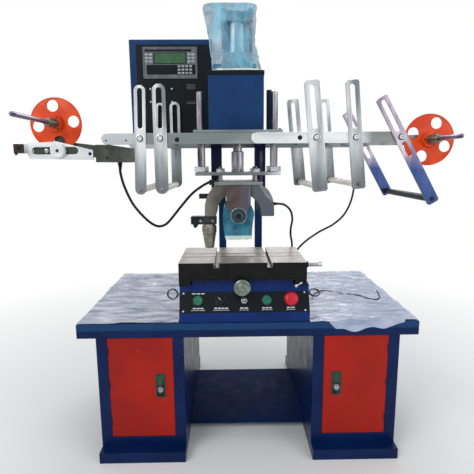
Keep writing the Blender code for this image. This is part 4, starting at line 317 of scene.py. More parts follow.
def makeFilm(name, facts):
    # thin crinkled plastic: cells for the flat facets, clouds for the milky places
    finish, tree = newFinish(name)
    vector = objectVector(tree, facts["stretch"])
    facets = addNode(tree, "ShaderNodeTexVoronoi", {"Vector": vector, "Scale": 1.0 / facts["facet"]})
    wobble = cloudNode(tree, vector, facts["facet"] * 2.0, 3.0)
    milky = cloudNode(tree, vector, facts["patch"], 6.0)
    colour = mixNode(tree, rangeNode(tree, milky, 0.34, 0.66), tint(*facts["deep"]), tint(*facts["pale"]))
    fillShader(tree, {"Base Color": fadeColour(tree, colour, facts.get("fades", ())),
        "Alpha": rangeNode(tree, milky, 0.36, 0.66, *facts["alpha"]),
        "Roughness": rangeNode(tree, wobble, 0.3, 0.7, *facts["rough"]),
        "Normal": bumpNode(tree, facets, facts["crinkle"], facts["facet"] * 0.2),
        "Coat Weight": facts["coat"], "Coat Roughness": 0.08, "Specular IOR Level": facts["spec"]})
    return finish


finishes = {"tableSteel": makeTableFinish("tableSteel", groundLook)}
for make, looks in ((makeFinish, finishLooks), (makeFilm, filmLooks)):
    finishes.update({name: make(name, facts) for name, facts in looks.items()})
print("finishes made:", len(finishes))


# forms that are added to a mesh


def facing(base, direction):
    # stands what is made along Z on a place, pointing that way
    turn = Vector(direction).to_track_quat("Z", "Y").to_matrix().to_4x4()
    return Matrix.Translation(Vector(base)) @ turn


def bridge(shape, rows, order=(1, 0, 3, 2), closed=False):
    # quads from ring to ring; order says at which corner a quad starts and which way it runs
    for low, high in zip(rows, rows[1:] + rows[:1] if closed else rows[1:]):
        for k in range(len(low)):
            j = (k + 1) % len(low)
            corners = (low[k], low[j], high[j], high[k])
            shape.faces.new([corners[i] for i in order])


def loft(shape, rings, order=(1, 0, 3, 2)):
    shape.faces.new(rings[0])
    shape.faces.new(list(reversed(rings[-1])))
    bridge(shape, rings, order)


def turnedRings(shape, profile, base, direction, sides, ripple=None):
    # profile is (distance along, radius); ripple(angle share, distance) scales the radius
    place = facing(base, direction)
    rings = []
    for along, radius in profile:
        rings.append([])
        for k in range(sides):
            angle = 2 * math.pi * k / sides
            reach = radius * (ripple(k / sides, along) if ripple else 1.0)
            spot = place @ Vector((reach * math.cos(angle), reach * math.sin(angle), along))
            rings[-1].append(shape.verts.new(spot))
    return rings


def addBox(shape, low, high):
    corners = [shape.verts.new((x, y, z)) for z in (low[2], high[2]) for y in (low[1], high[1])
        for x in (low[0], high[0])]
    for face in ((0, 2, 3, 1), (4, 5, 7, 6), (0, 1, 5, 4), (2, 6, 7, 3), (0, 4, 6, 2), (1, 3, 7, 5)):
        shape.faces.new([corners[i] for i in face])


def addPrism(shape, outline, axis, start, end):
    order = {"X": lambda p, along: (along, p[0], p[1]), "Y": lambda p, along: (p[0], along, p[1])}[axis]
    loft(shape, [[shape.verts.new(order(p, along)) for p in outline] for along in (start, end)])


def addLathe(shape, profile, base=origin, direction=toTop, sides=64, ripple=None):
    loft(shape, turnedRings(shape, profile, base, direction, sides, ripple))


def addCollar(shape, inner, outer, low, high, base, direction, sides=64):
    # a ring with square corners: inner and outer radius, from low to high along the direction
    profile = ((low, inner), (low, outer), (high, outer), (high, inner))
    bridge(shape, turnedRings(shape, profile, base, direction, sides), closed=True)


def addRing(shape, centre, direction, reach, wire, steps=64, sides=16):
    place = facing(centre, direction)
    rings = []
    for k in range(steps):
        angle = 2 * math.pi * k / steps
        rings.append([])
        for n in range(sides):
            small = 2 * math.pi * n / sides
            far = reach + wire * math.cos(small)
            spot = place @ Vector((far * math.cos(angle), far * math.sin(angle), wire * math.sin(small)))
            rings[-1].append(shape.verts.new(spot))
    bridge(shape, rings, (0, 3, 2, 1), closed=True)


def addSocketScrew(shape, head, height, hexagon):
    # a cap screw with a real hexagon socket, standing on z = 0; a ring without a radius is hexagonal
    rings = []
    for along, radius in ((0.0, head), (height * 0.86, head), (height, head * 0.9), (height, None),
            (height * 0.35, None)):
        rings.append([])
        for k in range(24):
            angle = math.pi * k / 12
            reach = radius or hexagon * 0.866 / math.cos(math.radians(math.degrees(angle) % 60 - 30))
            rings[-1].append(shape.verts.new((reach * math.cos(angle), reach * math.sin(angle), along)))
    bridge(shape, rings, (0, 1, 2, 3))
    shape.faces.new(list(reversed(rings[0])))
    shape.faces.new(rings[-1])


def addPanHead(shape, head, height):
    profile = ((0.0, head), (height * 0.4, head), (height * 0.8, head * 0.75), (height, head * 0.4))
    addLathe(shape, profile, sides=20)


def addHexNut(shape, width, height, stud, tip):
    addLathe(shape, ((-0.0012, width * 1.18), (0.0, width * 1.18), (0.0, width * 0.99)), sides=24)
    addLathe(shape, ((0.0, width), (height * 0.85, width), (height, width * 0.86)), sides=6)
    thread = [(height * 0.9, stud)]
    thread += [(height + tip * k / 8, stud * (0.9 if k % 2 else 1.0)) for k in range(8)]
    addLathe(shape, thread + [(height + tip, stud * 0.8)], sides=16)


def arcPoints(centreA, centreB, radius, start, end, steps):
    points = []
    for k in range(steps + 1):
        angle = math.radians(start + (end - start) * k / steps)
        points.append((centreA + radius * math.cos(angle), centreB + radius * math.sin(angle)))
    return points


def build(*forms):
    # a form is the function that adds it, then what that function takes
    shape = bmesh.new()
    for add, *facts in forms:
        add(shape, *facts)
    return shape


# pieces

edgeLook = dict(sharp=38.0, round=42.0, weld=0.00002)


def newObject(name, data):
    made = bpy.data.objects.new(name, data)
    scene.collection.objects.link(made)
    return made


def evaluatedMesh(thing):
    return bpy.data.meshes.new_from_object(thing.evaluated_get(bpy.context.evaluated_depsgraph_get()))


def looseSolid(name, shape, outward=True):
    if outward:
        bmesh.ops.recalc_face_normals(shape, faces=shape.faces)
    mesh = bpy.data.meshes.new(name)
    shape.to_mesh(mesh)
    shape.free()
    return newObject(name, mesh)


def attach(piece, slot, replaces=False, body=None):
    # without a body of its own, a piece rides on that of the CAD node whose slot it has
    if replaces:
        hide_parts(slot)
    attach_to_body(piece, body or body_of(cadNodes[slot])[0])


def sharpen(mesh):
    mesh.shade_smooth()
    mesh.set_sharp_from_angle(angle=math.radians(edgeLook["sharp"]))


def roundEdges(piece, width, segments):
    rounding = piece.modifiers.new("roundedEdges", "BEVEL")
    rounding.width = width
    rounding.segments = segments
    rounding.limit_method = "ANGLE"
    rounding.angle_limit = math.radians(edgeLook["round"])


def finishPiece(piece, finish, slot, bevel=0.0, replaces=False, body=None):
    piece.data.materials.clear()
    piece.data.materials.append(finishes[finish])
    sharpen(piece.data)
    if bevel:
        roundEdges(piece, bevel, 3)
    attach(piece, slot, replaces, body)


def makePiece(name, finish, slot, *forms, bevel=0.0, replaces=False, body=None):
    finishPiece(looseSolid(name, build(*forms)), finish, slot, bevel, replaces, body)


def makeSkin(name, finish, slot, shape, outward=False, replaces=True):
    # a soft piece, smooth all over
    skin = looseSolid(name, shape, outward)
    skin.data.shade_smooth()
    skin.data.materials.append(finishes[finish])
    attach(skin, slot, replaces)
    return skin


def joinSolids(first, others, operation="UNION"):
    for other in others:
        step = first.modifiers.new("combine", "BOOLEAN")
        step.operation = operation
        step.solver = "EXACT"
        step.object = other
    result = evaluatedMesh(first)
    first.modifiers.clear()
    first.data = result
    for other in others:
        bpy.data.objects.remove(other, do_unlink=True)
    return first


def dressNodes(**dress):
    # a CAD node keeps its shape; its edges are only broken for the light
    for name, (finish, bevel) in dress.items():
        node = cadNodes[name]
        if len(node.material_slots) == 0:
            node.data.materials.append(finishes[finish])
        for slot in node.material_slots:
            slot.material = finishes[finish]
        weld = node.modifiers.new("weld", "WELD")
        weld.merge_threshold = edgeLook["weld"]
        roundEdges(node, bevel, 2)


# one node tree that repeats a template on points


def buildRepeatTree():
    tree = bpy.data.node_groups.new("repeatOnPoints", "GeometryNodeTree")
    for name, kind in (("points", "Geometry"), ("template", "Object"), ("turn", "Vector"),
            ("size", "Float"), ("finish", "Material")):
        tree.interface.new_socket(name, in_out="INPUT", socket_type="NodeSocket" + kind)
    tree.interface.new_socket("result", in_out="OUTPUT", socket_type="NodeSocketGeometry")
    given = tree.nodes.new("NodeGroupInput").outputs
    template = addNode(tree, "GeometryNodeObjectInfo", {"Object": given["template"]}, "Geometry")
    turn = addNode(tree, "FunctionNodeEulerToRotation", {0: given["turn"]})
    copies = addNode(tree, "GeometryNodeInstanceOnPoints", {"Points": given["points"], "Instance": template,
        "Rotation": turn, "Scale": given["size"]})
    solid = addNode(tree, "GeometryNodeRealizeInstances", {0: copies})
    painted = addNode(tree, "GeometryNodeSetMaterial", {"Geometry": solid, "Material": given["finish"]})
    setSocket(tree, tree.nodes.new("NodeGroupOutput").inputs[0], painted)
    return tree


repeatTree = buildRepeatTree()
repeatSockets = {item.name: item.identifier for item in repeatTree.interface.items_tree
    if item.in_out == "INPUT"}


def repeatPiece(name, finish, slot, spots, direction, *forms, size=1.0):
    mesh = bpy.data.meshes.new(name)
    mesh.from_pydata([tuple(spot) for spot in spots], [], [])
    piece = newObject(name, mesh)
    pattern = looseSolid(name + "Template", build(*forms))
    sharpen(pattern.data)
    step = piece.modifiers.new("repeat", "NODES")
    step.node_group = repeatTree
    step[repeatSockets["template"]] = pattern
    step[repeatSockets["turn"]] = tuple(Vector(direction).to_track_quat("Z", "Y").to_euler())
    step[repeatSockets["size"]] = size
    step[repeatSockets["finish"]] = finishes[finish]
    result = evaluatedMesh(piece)
    piece.modifiers.clear()
    piece.data = result
    bpy.data.objects.remove(pattern, do_unlink=True)
    if len(result.materials) == 0:
        result.materials.append(finishes[finish])
    attach(piece, slot)


# camera, light and floor

viewLook = dict(place=(-0.065, -1.893, 1.143), tilt=9.85, yaw=0.88, roll=0.40, lens=32.256)
lampLook = dict(key=((-2.3, -3.0, 3.3), 2.2, 62.0), fill=((2.9, -2.4, 2.0), 2.4, 30.0),
    back=((0.4, 2.8, 3.0), 2.0, 45.0))
skyLook = dict(colour=(0.93, 0.96, 1.0, 1.0), strength=0.62, aim=(0.0, 0.0, 0.95),
    seen=(1.0, 1.0, 1.0, 1.0))
floorLook = dict(colour=(238, 238, 236), near=1.1, far=2.6, half=14.0, rough=0.85)


def placeCamera():
    tilt, yaw, roll = (math.radians(viewLook[key]) for key in ("tilt", "yaw", "roll"))
    ahead = Vector((math.sin(yaw) * math.cos(tilt), math.cos(yaw) * math.cos(tilt), -math.sin(tilt)))
    right = Vector((math.cos(yaw), -math.sin(yaw), 0.0))
    down = ahead.cross(right)
    across = right * math.cos(roll) + down * math.sin(roll)
    below = down * math.cos(roll) - right * math.sin(roll)
    lens = bpy.data.cameras.new("photoView")
    lens.sensor_width = 36.0
    lens.lens = viewLook["lens"]
    lens.clip_start = 0.05
    camera = newObject("photoView", lens)
    turn = Matrix((across, -below, -ahead)).transposed().to_4x4()
    camera.matrix_world = Matrix.Translation(Vector(viewLook["place"])) @ turn
    scene.camera = camera


def lightScene():
    for name, (place, width, power) in lampLook.items():
        lamp = bpy.data.lights.new(name + "Lamp", "AREA")
        lamp.size = width
        lamp.energy = power
        holder = newObject(name + "Lamp", lamp)
        holder.location = place
        holder.rotation_euler = (Vector(skyLook["aim"]) - Vector(place)).to_track_quat("-Z", "Y").to_euler()
    world = bpy.data.worlds.new("studio")
    world.use_nodes = True
    scene.world = world
    tree = world.node_tree
    light = tree.nodes["Background"]
    light.inputs[0].default_value = skyLook["colour"]
    light.inputs[1].default_value = skyLook["strength"]
    white = addNode(tree, "ShaderNodeBackground", {0: skyLook["seen"], 1: 1.0})
    ray = tree.nodes.new("ShaderNodeLightPath").outputs
    seen = mathNode(tree, "MAXIMUM", ray["Is Camera Ray"], ray["Is Glossy Ray"])
    seen = mathNode(tree, "MAXIMUM", seen, ray["Is Transmission Ray"])
    mixed = addNode(tree, "ShaderNodeMixShader", {0: seen, 1: light.outputs[0], 2: white})
    setSocket(tree, tree.nodes["World Output"].inputs[0], mixed)


def layFloor():
    # grey where the machine stands, and from some way off as white as the background
    half = floorLook["half"]
    mesh = bpy.data.meshes.new("studioFloor")
    mesh.from_pydata([(-half, -half, 0), (half, -half, 0), (half, half, 0), (-half, half, 0)], [],
        [(0, 1, 2, 3)])
    floor = newObject("studioFloor", mesh)
    finish, tree = newFinish("studioFloor")
    fillShader(tree, {"Base Color": tint(*floorLook["colour"]), "Roughness": floorLook["rough"]})
    white = addNode(tree, "ShaderNodeEmission", {0: skyLook["seen"]})
    distance = addNode(tree, "ShaderNodeVectorMath", {0: objectVector(tree)}, "Value", operation="LENGTH")
    away = rangeNode(tree, distance, floorLook["near"], floorLook["far"])
    ray = addNode(tree, "ShaderNodeLightPath", {}, "Is Camera Ray")
    shader = tree.nodes["Principled BSDF"].outputs[0]
    mixed = addNode(tree, "ShaderNodeMixShader", {0: mathNode(tree, "MULTIPLY", away, ray), 1: shader,
        2: white})
    setSocket(tree, tree.nodes["Material Output"].inputs[0], mixed)
    mesh.materials.append(finish)


placeCamera()
lightScene()
layFloor()
print("camera, lamps and floor placed")


# cables

cableLooks = {
    "cable_left": dict(radius=0.0055, length=0.728, far="object", stiff="medium", lay="hanging",
        route=((-0.530, -0.060, 1.1497), (-0.530, -0.060, 1.105), (-0.516, -0.058, 1.045),
        (-0.485, -0.052, 0.972), (-0.440, -0.046, 0.913), (-0.402, -0.040, 0.880), (-0.372, -0.034, 0.872),
        (-0.340, -0.026, 0.888), (-0.288, -0.014, 0.950), (-0.235, -0.014, 1.010), (-0.190, -0.022, 1.044),
        (-0.155, -0.026, 1.063), (-0.128, -0.017, 1.074), (-0.116, 0.002, 1.078), (-0.1135, 0.019, 1.078),
        (-0.1135, 0.0355, 1.078))),
    "cable_right": dict(radius=0.0045, length=0.808, far="object", stiff="medium", lay="hanging",
        route=((0.520, 0.119, 1.2207), (0.520, 0.119, 1.170), (0.522, 0.117, 1.110), (0.520, 0.112, 1.040),
        (0.505, 0.102, 0.965), (0.470, 0.090, 0.900), (0.415, 0.078, 0.855), (0.345, 0.068, 0.820),
        (0.275, 0.062, 0.770), (0.225, 0.058, 0.710), (0.196, 0.048, 0.655), (0.186, 0.020, 0.624),
        (0.185, -0.010, 0.620), (0.185, -0.0307, 0.620))),
    "hood_cable": dict(radius=0.0045, length=0.570, far="object", stiff="medium", lay="hanging",
        bends=((0.200, -0.060, 0.965), (0.200, 0.000, 0.700)), route=((0.1090, -0.150, 0.978),
        (0.130, -0.150, 0.978), (0.160, -0.142, 0.972), (0.188, -0.120, 0.945), (0.200, -0.092, 0.905),
        (0.200, -0.055, 0.865), (0.204, -0.020, 0.825), (0.216, 0.014, 0.775), (0.214, 0.036, 0.715),
        (0.186, 0.042, 0.655), (0.158, 0.030, 0.612), (0.146, 0.008, 0.600), (0.145, -0.015, 0.600),
        (0.145, -0.0307, 0.600))),
    "desk_wire": dict(radius=0.0028, length=0.582, far="bare", stiff="limp", lay="loose",
        route=((0.2468, -0.100, 0.580), (0.262, -0.100, 0.580), (0.280, -0.092, 0.571),
        (0.300, -0.070, 0.558), (0.320, -0.030, 0.5536), (0.345, 0.006, 0.5536), (0.385, 0.008, 0.5536),
        (0.432, -0.030, 0.5536), (0.478, -0.046, 0.5536), (0.512, -0.066, 0.5536), (0.540, -0.112, 0.5536),
        (0.568, -0.124, 0.5536), (0.592, -0.096, 0.5536), (0.604, -0.050, 0.5536), (0.612, 0.010, 0.5536))),
}


def smoothRoute(points, step):
    ends = [Vector(points[0]) * 2 - Vector(points[1])] + [Vector(p) for p in points]
    ends.append(Vector(points[-1]) * 2 - Vector(points[-2]))
    fine = []
    for a, b, c, d in zip(ends, ends[1:], ends[2:], ends[3:]):
        for k in range(12):
            t = k / 12
            fine.append(0.5 * (2 * b + (c - a) * t + (2 * a - 5 * b + 4 * c - d) * t ** 2
                + (3 * b - 3 * c + d - a) * t ** 3))
    fine.append(Vector(points[-1]))
    total = sum((b - a).length for a, b in zip(fine, fine[1:]))
    even, done, want = [fine[0]], 0.0, step
    for a, b in zip(fine, fine[1:]):
        span = (b - a).length
        while want <= done + span and want < total - step * 0.5:
            even.append(a.lerp(b, (want - done) / span))
            want += step
        done += span
    even.append(fine[-1])
    return even


def tubeMesh(name, line):
    # the curve as a plain mesh, for the cable that has to bend with the press
    holder = newObject(name, line)
    mesh = evaluatedMesh(holder)
    bpy.data.objects.remove(holder, do_unlink=True)
    mesh.name = name
    return mesh


def layCables():
    for name, facts in cableLooks.items():
        points = smoothRoute(facts["route"], 0.006)
        line = bpy.data.curves.new(name + "Sheath", "CURVE")
        line.dimensions = "3D"
        line.bevel_depth = facts["radius"]
        line.bevel_resolution = 5
        line.use_fill_caps = True
        spline = line.splines.new("POLY")
        spline.points.add(len(points) - 1)
        for point, place in zip(spline.points, points):
            point.co = (*place, 1.0)
        spline.use_smooth = True
        line.materials.append(finishes["cableBlack"])
        bends = facts.get("bends")
        cable = newObject(name + "Sheath", tubeMesh(name + "Sheath", line) if bends else line)
        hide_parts(name)
        words = dict(exit=facts["route"][0], length=facts["length"], diameter=facts["radius"] * 2,
            far_end=facts["far"], stiffness=facts["stiff"], lay=facts["lay"])
        if bends:
            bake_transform(cable, "carriage", "machine_frame", start=bends[0], end=bends[1])
            words["path"] = [tuple(point) for point in points]
        else:
            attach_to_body(cable, "machine_frame")


reliefLook = dict(startHigh=2.0, endHigh=1.06, ribs=5)
reliefPlaces = {
    "cable_left": (((-0.530, -0.060, 1.1497), toFloor, 0.030, "arm_bracket_left"),
        ((-0.1135, 0.0359, 1.078), toFront, 0.018, "column_frame")),
    "cable_right": (((0.520, 0.119, 1.2197), toFloor, 0.028, "arm_bracket_right"),
        ((0.185, -0.0313, 0.620), toRear, 0.020, "console_box")),
    "hood_cable": (((0.1083, -0.150, 0.978), toRight, 0.020, "heating_hood"),
        ((0.145, -0.0313, 0.600), toRear, 0.020, "console_box")),
    "desk_wire": (((0.2463, -0.100, 0.580), toRight, 0.013, "console_box"),),
}


def fitReliefs():
    # a ribbed taper where each cable leaves a housing
    startHigh, endHigh, ribs = reliefLook["startHigh"], reliefLook["endHigh"], reliefLook["ribs"]
    for name, places in reliefPlaces.items():
        radius = cableLooks[name]["radius"]
        for k, (place, way, long, slot) in enumerate(places):
            profile = [(0.0, radius * startHigh * 0.9), (long * 0.05, radius * startHigh)]
            for n in range(ribs):
                share = (n + 0.5) / ribs
                reach = radius * (startHigh + (endHigh - startHigh) * share)
                profile += [(long * (share - 0.06), reach), (long * (share - 0.02), reach * 0.86),
                    (long * (share + 0.04), reach * 0.86), (long * (share + 0.08), reach * 0.97)]
            profile += [(long, radius * endHigh), (long, radius * 0.9)]
            makePiece("relief_" + name + str(k), "cableBlack", slot, (addLathe, profile, place, way, 28))


layCables()
fitReliefs()
print("cables laid")


# bench

benchLook = dict(hinge=(0.5372, -0.3692), knuckleHeights=(0.150, 0.300, 0.440), knuckle=(0.0030, 0.030))
# each flat part of a lock: its finish, half its width, its lower and upper end, how far it stands out of
# the lock's face and how deep it goes into it, and its rounded edge
lockLook = dict(x=0.341, z=0.283, face=-0.3711, parts=dict(lockPlate=("lockGreen", 0.0190, -0.0335, 0.0655,
    0.0, 0.0030, 0.0012), lockInset=("darkSteel", 0.0150, -0.0295, 0.0615, 0.0006, 0.0004, 0.0004),
    lockFlap=("lockGreen", 0.0115, 0.0180, 0.0580, 0.0016, -0.0004, 0.0008)))
filmLook = dict(half=(0.6465, 0.369), top=0.5502, notch=(-0.2655, 0.2365, 0.140), step=0.0055, rowsDown=8,
    hang=dict(start=0.30, end=0.60, drop=0.040, front=-0.3745, least=0.002))


def dressBench():
    dressNodes(desk_top=("benchBlue", 0.003), pedestal_left=("benchBlue", 0.0015),
        pedestal_right=("benchBlue", 0.0015), foot_shelf=("shelfBlue", 0.0006),
        door_left=("doorRed", 0.0018), door_right=("doorRed", 0.0018))
    radius, tall = benchLook["knuckle"]
    third = tall / 3
    knuckles = []
    for start in (-1.5 * third, -0.5 * third, 0.5 * third):
        profile = ((start + 0.0004, radius * 0.92), (start + 0.0012, radius),
            (start + third - 0.0012, radius), (start + third - 0.0004, radius * 0.92))
        knuckles.append((addLathe, profile, origin, toTop, 16))
    for side, label in ((-1, "left"), (1, "right")):
        x, y = side * benchLook["hinge"][0], benchLook["hinge"][1]
        repeatPiece("doorHinges_" + label, "benchBlue", "pedestal_" + label,
            [(x, y, z) for z in benchLook["knuckleHeights"]], toTop, *knuckles)
        makeLock(side * lockLook["x"], label)


def makeLock(x, label):
    z, face, slot = lockLook["z"], lockLook["face"], "lock_" + label
    for name, (finish, half, low, high, proud, deep, bevel) in lockLook["parts"].items():
        makePiece(name + "_" + label, finish, slot, (addBox, (x - half, face - proud, z + low),
            (x + half, face + deep, z + high)), bevel=bevel, body="door_" + label)
    foot = face + 0.0012
    knob = build((addLathe, ((0.0, 0.0045), (0.0, 0.0112), (0.0022, 0.0112), (0.0028, 0.0100),
        (0.0078, 0.0096), (0.0094, 0.0086), (0.0098, 0.0070)), (x, foot, z), toFront, 48))
    slit = build((addBox, (x - 0.0008, foot - 0.0120, z - 0.0042), (x + 0.0008, foot - 0.0072, z + 0.0042)))
    body = joinSolids(looseSolid("lockKnob_" + label, knob), [looseSolid("slit", slit)], "DIFFERENCE")
    finishPiece(body, "chrome", slot, 0.0004, True)


def filmShape(x, y):
    warp = noise.noise(Vector((x * 2.3, y * 4.0, 5.0))) * 0.35
    long = 1.0 - abs(noise.noise(Vector((x * 3.2 + warp, (y + x * 0.16) * 13.0 + warp * 5, 1.3))))
    cross = 1.0 - abs(noise.noise(Vector((x * 8.0 - warp, (y - x * 0.5) * 17.0, 7.9))))
    small = 1.0 - abs(noise.noise(Vector((x * 26.0, y * 40.0, 3.1))))
    broad = noise.noise(Vector((x * 2.6, y * 3.4, 9.2)))
    creases = 0.0042 * max(0.0, long) ** 7 + 0.0026 * max(0.0, cross) ** 8
    return creases + 0.0009 * small ** 4 + 0.0016 * (broad + 0.6)


def layFilm():
    # a thin sheet with long soft creases, open round the console, its right edge over the desk's front
    halfX, halfY = filmLook["half"]
    left, right, rear = filmLook["notch"]
    top, rowsDown, hang = filmLook["top"], filmLook["rowsDown"], filmLook["hang"]
    countX = round(2 * halfX / filmLook["step"])
    countY = round(2 * halfY / filmLook["step"])
    shape = bmesh.new()
    grid = {}
    for i in range(countX + 1):
        x0 = -halfX + 2 * halfX * i / countX
        ragged = 0.004 * noise.noise(Vector((x0 * 11.0, 0.0, 2.0)))
        share = max(0.0, min(1.0, (x0 - hang["start"]) / 0.03, (hang["end"] - x0) / 0.05))
        drop = hang["drop"] * share * (0.75 + 0.5 * noise.noise(Vector((x0 * 17.0, 4.0, 0.5))))
        hangs = drop >= hang["least"]
        for j in range(-rowsDown if hangs else 0, countY + 1):
            if j < 0:
                down = drop * -j / rowsDown
                swell = 0.0022 * noise.noise(Vector((x0 * 30.0, down * 30.0, 8.0)))
                grid[i, j] = shape.verts.new((x0, hang["front"] - 0.001 - abs(swell), top + 0.002 - down))
                continue
            y0 = -halfY + 2 * halfY * j / countY
            x = x0 + 0.003 * noise.noise(Vector((y0 * 14.0, x0 * 2.0, 6.0))) * (1 if 0 < i < countX else 2)
            edge = max(0.0, 1.0 - (y0 + halfY) / 0.02)
            y = y0 + ragged * edge
            z = top + filmShape(x0, y0)
            if share > 0.0:
                y = y0 - edge * (halfY + y0 + 0.0055) * share if j == 0 else y0
            if j == 0 and hangs:
                y, z = hang["front"], top + 0.002
            grid[i, j] = shape.verts.new((x, y, z))
    for i, j in list(grid):
        corners = [(i, j), (i + 1, j), (i + 1, j + 1), (i, j + 1)]
        midX = -halfX + 2 * halfX * (i + 0.5) / countX
        midY = -halfY + 2 * halfY * (j + 0.5) / countY
        if all(corner in grid for corner in corners) and not (left < midX < right and midY < rear):
            shape.faces.new([grid[corner] for corner in corners])
    bmesh.ops.delete(shape, geom=[v for v in shape.verts if not v.link_faces], context="VERTS")
    print("desk film area", round(sum(face.calc_area() for face in shape.faces), 3))
    film = makeSkin("deskFilmSheet", "deskFilm", "desk_film", shape)


dressBench()
layFilm()
print("bench dressed")


# console and its controls

consoleLook = dict(left=-0.2615, right=0.2325, frontY=-0.366, rearY=-0.045, floor=0.5494, lip=0.587,
    stripY=-0.330, strip=0.660, top=0.7085, notchTop=0.6885, notchLeft=-0.2145, notchRight=0.1745,
    ring=(0.038, -0.250, 0.628))
slopeRun = consoleLook["stripY"] - consoleLook["frontY"]
slopeRise = consoleLook["strip"] - consoleLook["lip"]
slopeLength = math.hypot(slopeRun, slopeRise)
upSlope = Vector((0.0, slopeRun / slopeLength, slopeRise / slopeLength))
offSlope = Vector((0.0, -slopeRise / slopeLength, slopeRun / slopeLength))


def onSlope(x, share, height=0.0):
    foot = Vector((x, consoleLook["frontY"], consoleLook["lip"]))
    return foot + upSlope * (slopeLength * share) + offSlope * height


def makeConsole():
    left, right, frontY, rearY, floor, lip, stripY, strip = list(consoleLook.values())[:8]
    top, notchTop, notchLeft, notchRight, ring = list(consoleLook.values())[8:]
    solids = []
    for start, end, high in ((notchLeft, notchRight, top), (left, notchLeft, notchTop),
            (notchRight, right, notchTop)):
        outline = ((frontY, floor), (frontY, lip), (stripY, strip), (stripY, high), (rearY, high),
            (rearY, floor))
        solids.append(looseSolid("consoleCase", build((addPrism, outline, "X", start, end))))
    finishPiece(joinSolids(solids[0], solids[1:]), "consoleBlue", "console_box", 0.0018, True)
    rings = []
    out, y, z = ring
    for side, wall, way in ((-1, left, (0.0, 1.0, 0.0)), (1, right, (0.0, 0.45, -0.89))):
        rings.append((addRing, (wall + side * out, y, z), way, 0.0200, 0.0037))
        rings.append((addLathe, ((0.0, 0.0095), (0.002, 0.0095), (0.003, 0.0062), (0.0130, 0.0050),
            (0.0165, 0.0050), (0.0195, 0.0034)), (wall, y, z), (side, 0, 0), 32))
    makePiece("consoleRings", "ringSteel", "console_box", *rings)
    wide = ((0.0, 0.0125), (0.006, 0.0125), (0.0065, 0.0105), (0.012, 0.0095), (0.0138, 0.0075))
    slim = ((0.0, 0.0110), (0.006, 0.0110), (0.0065, 0.0095), (0.0120, 0.0085), (0.0138, 0.0060))
    makePiece("consoleGlands", "plasticBlack", "console_box", (addLathe, wide, (0.185, rearY, 0.620),
        toRear, 32), (addLathe, wide, (0.145, rearY, 0.600), toRear, 32),
        (addLathe, slim, (right, -0.100, 0.580), toRight, 32), bevel=0.0004)
    dressNodes(console_panel=("panelBlack", 0.0005))
    corners = [onSlope(x, share, 0.0020) for x in (-0.246, 0.215) for share in (0.10, 0.93)]
    repeatPiece("panelScrews", "markPale", "console_panel", corners, offSlope, (addPanHead, 0.0034, 0.0014))


controlLook = dict(share=0.57, stopShare=0.62, surface=0.0020, startX=(-0.190, 0.0695), stopX=0.162,
    selectorX=-0.104, toggleX=-0.0155, selectorTurn=40)
# pale bars where the plate is printed, a row of larger ones over a row of fine ones: the middle's x and
# share of the slope, half the row's width, the share that it is tall, and its pieces
markRows = ((-0.190, 0.91, 0.024, 0.050, 3), (-0.190, 0.225, 0.020, 0.055, 3),
    (-0.190, 0.135, 0.026, 0.022, 5), (-0.103, 0.225, 0.026, 0.055, 4), (-0.103, 0.135, 0.030, 0.022, 6),
    (-0.0165, 0.225, 0.015, 0.055, 2), (-0.0165, 0.135, 0.017, 0.022, 3), (0.070, 0.225, 0.018, 0.055, 3),
    (0.070, 0.135, 0.020, 0.022, 4), (0.160, 0.225, 0.015, 0.055, 2), (0.160, 0.135, 0.017, 0.022, 3))


def makeControls():
    share, surface = controlLook["share"], controlLook["surface"]
    starts = [onSlope(x, share) for x in controlLook["startX"]]
    stop = onSlope(controlLook["stopX"], controlLook["stopShare"])
    selector, toggle = onSlope(controlLook["selectorX"], share), onSlope(controlLook["toggleX"], share)
    bezels = [(addCollar, inner, outer, surface, surface + high, place, offSlope)
        for inner, outer, high, place in ((0.0185, 0.0212, 0.0030, starts[0]),
        (0.0185, 0.0212, 0.0030, starts[1]), (0.0276, 0.0300, 0.0022, stop),
        (0.0172, 0.0205, 0.0026, selector))]
    makePiece("controlBezels", "darkSteel", "console_panel", *bezels, bevel=0.0006)
    makePiece("toggleNut", "chrome", "console_panel", (addCollar, 0.0082, 0.0120, surface, surface + 0.0024,
        toggle, offSlope, 6), bevel=0.0004)
    for label, place in zip(("left", "right"), starts):
        makePiece("startCap_" + label, "capGreen", "start_button_" + label,
            (addLathe, ((0.0056, 0.0110), (0.0056, 0.0168), (0.0070, 0.0178), (0.0130, 0.0178),
            (0.0150, 0.0170), (0.0160, 0.0155), (0.0158, 0.0136), (0.0152, 0.0072), (0.0151, 0.0020)),
            place, offSlope, 64), replaces=True)
    makePiece("stopCap", "capRed", "stop_button", (addLathe, ((0.0056, 0.0140), (0.0056, 0.0250),
        (0.0066, 0.0264), (0.0105, 0.0268), (0.0150, 0.0264), (0.0200, 0.0240), (0.0232, 0.0196),
        (0.0247, 0.0130), (0.0253, 0.0060), (0.0254, 0.0010)), stop, offSlope, 72), replaces=True)
    makeSelector(selector)
    makePiece("toggleShaft", "chrome", "toggle_lever", (addLathe,
        ((-0.0050, 0.0035), (-0.0020, 0.0060), (0.0010, 0.0064), (0.0040, 0.0052), (0.0060, 0.0032),
        (0.0200, 0.0040), (0.0230, 0.0042), (0.0240, 0.0036), (0.0245, 0.0020)), toggle, offSlope, 32),
        replaces=True)
    makeMarks()


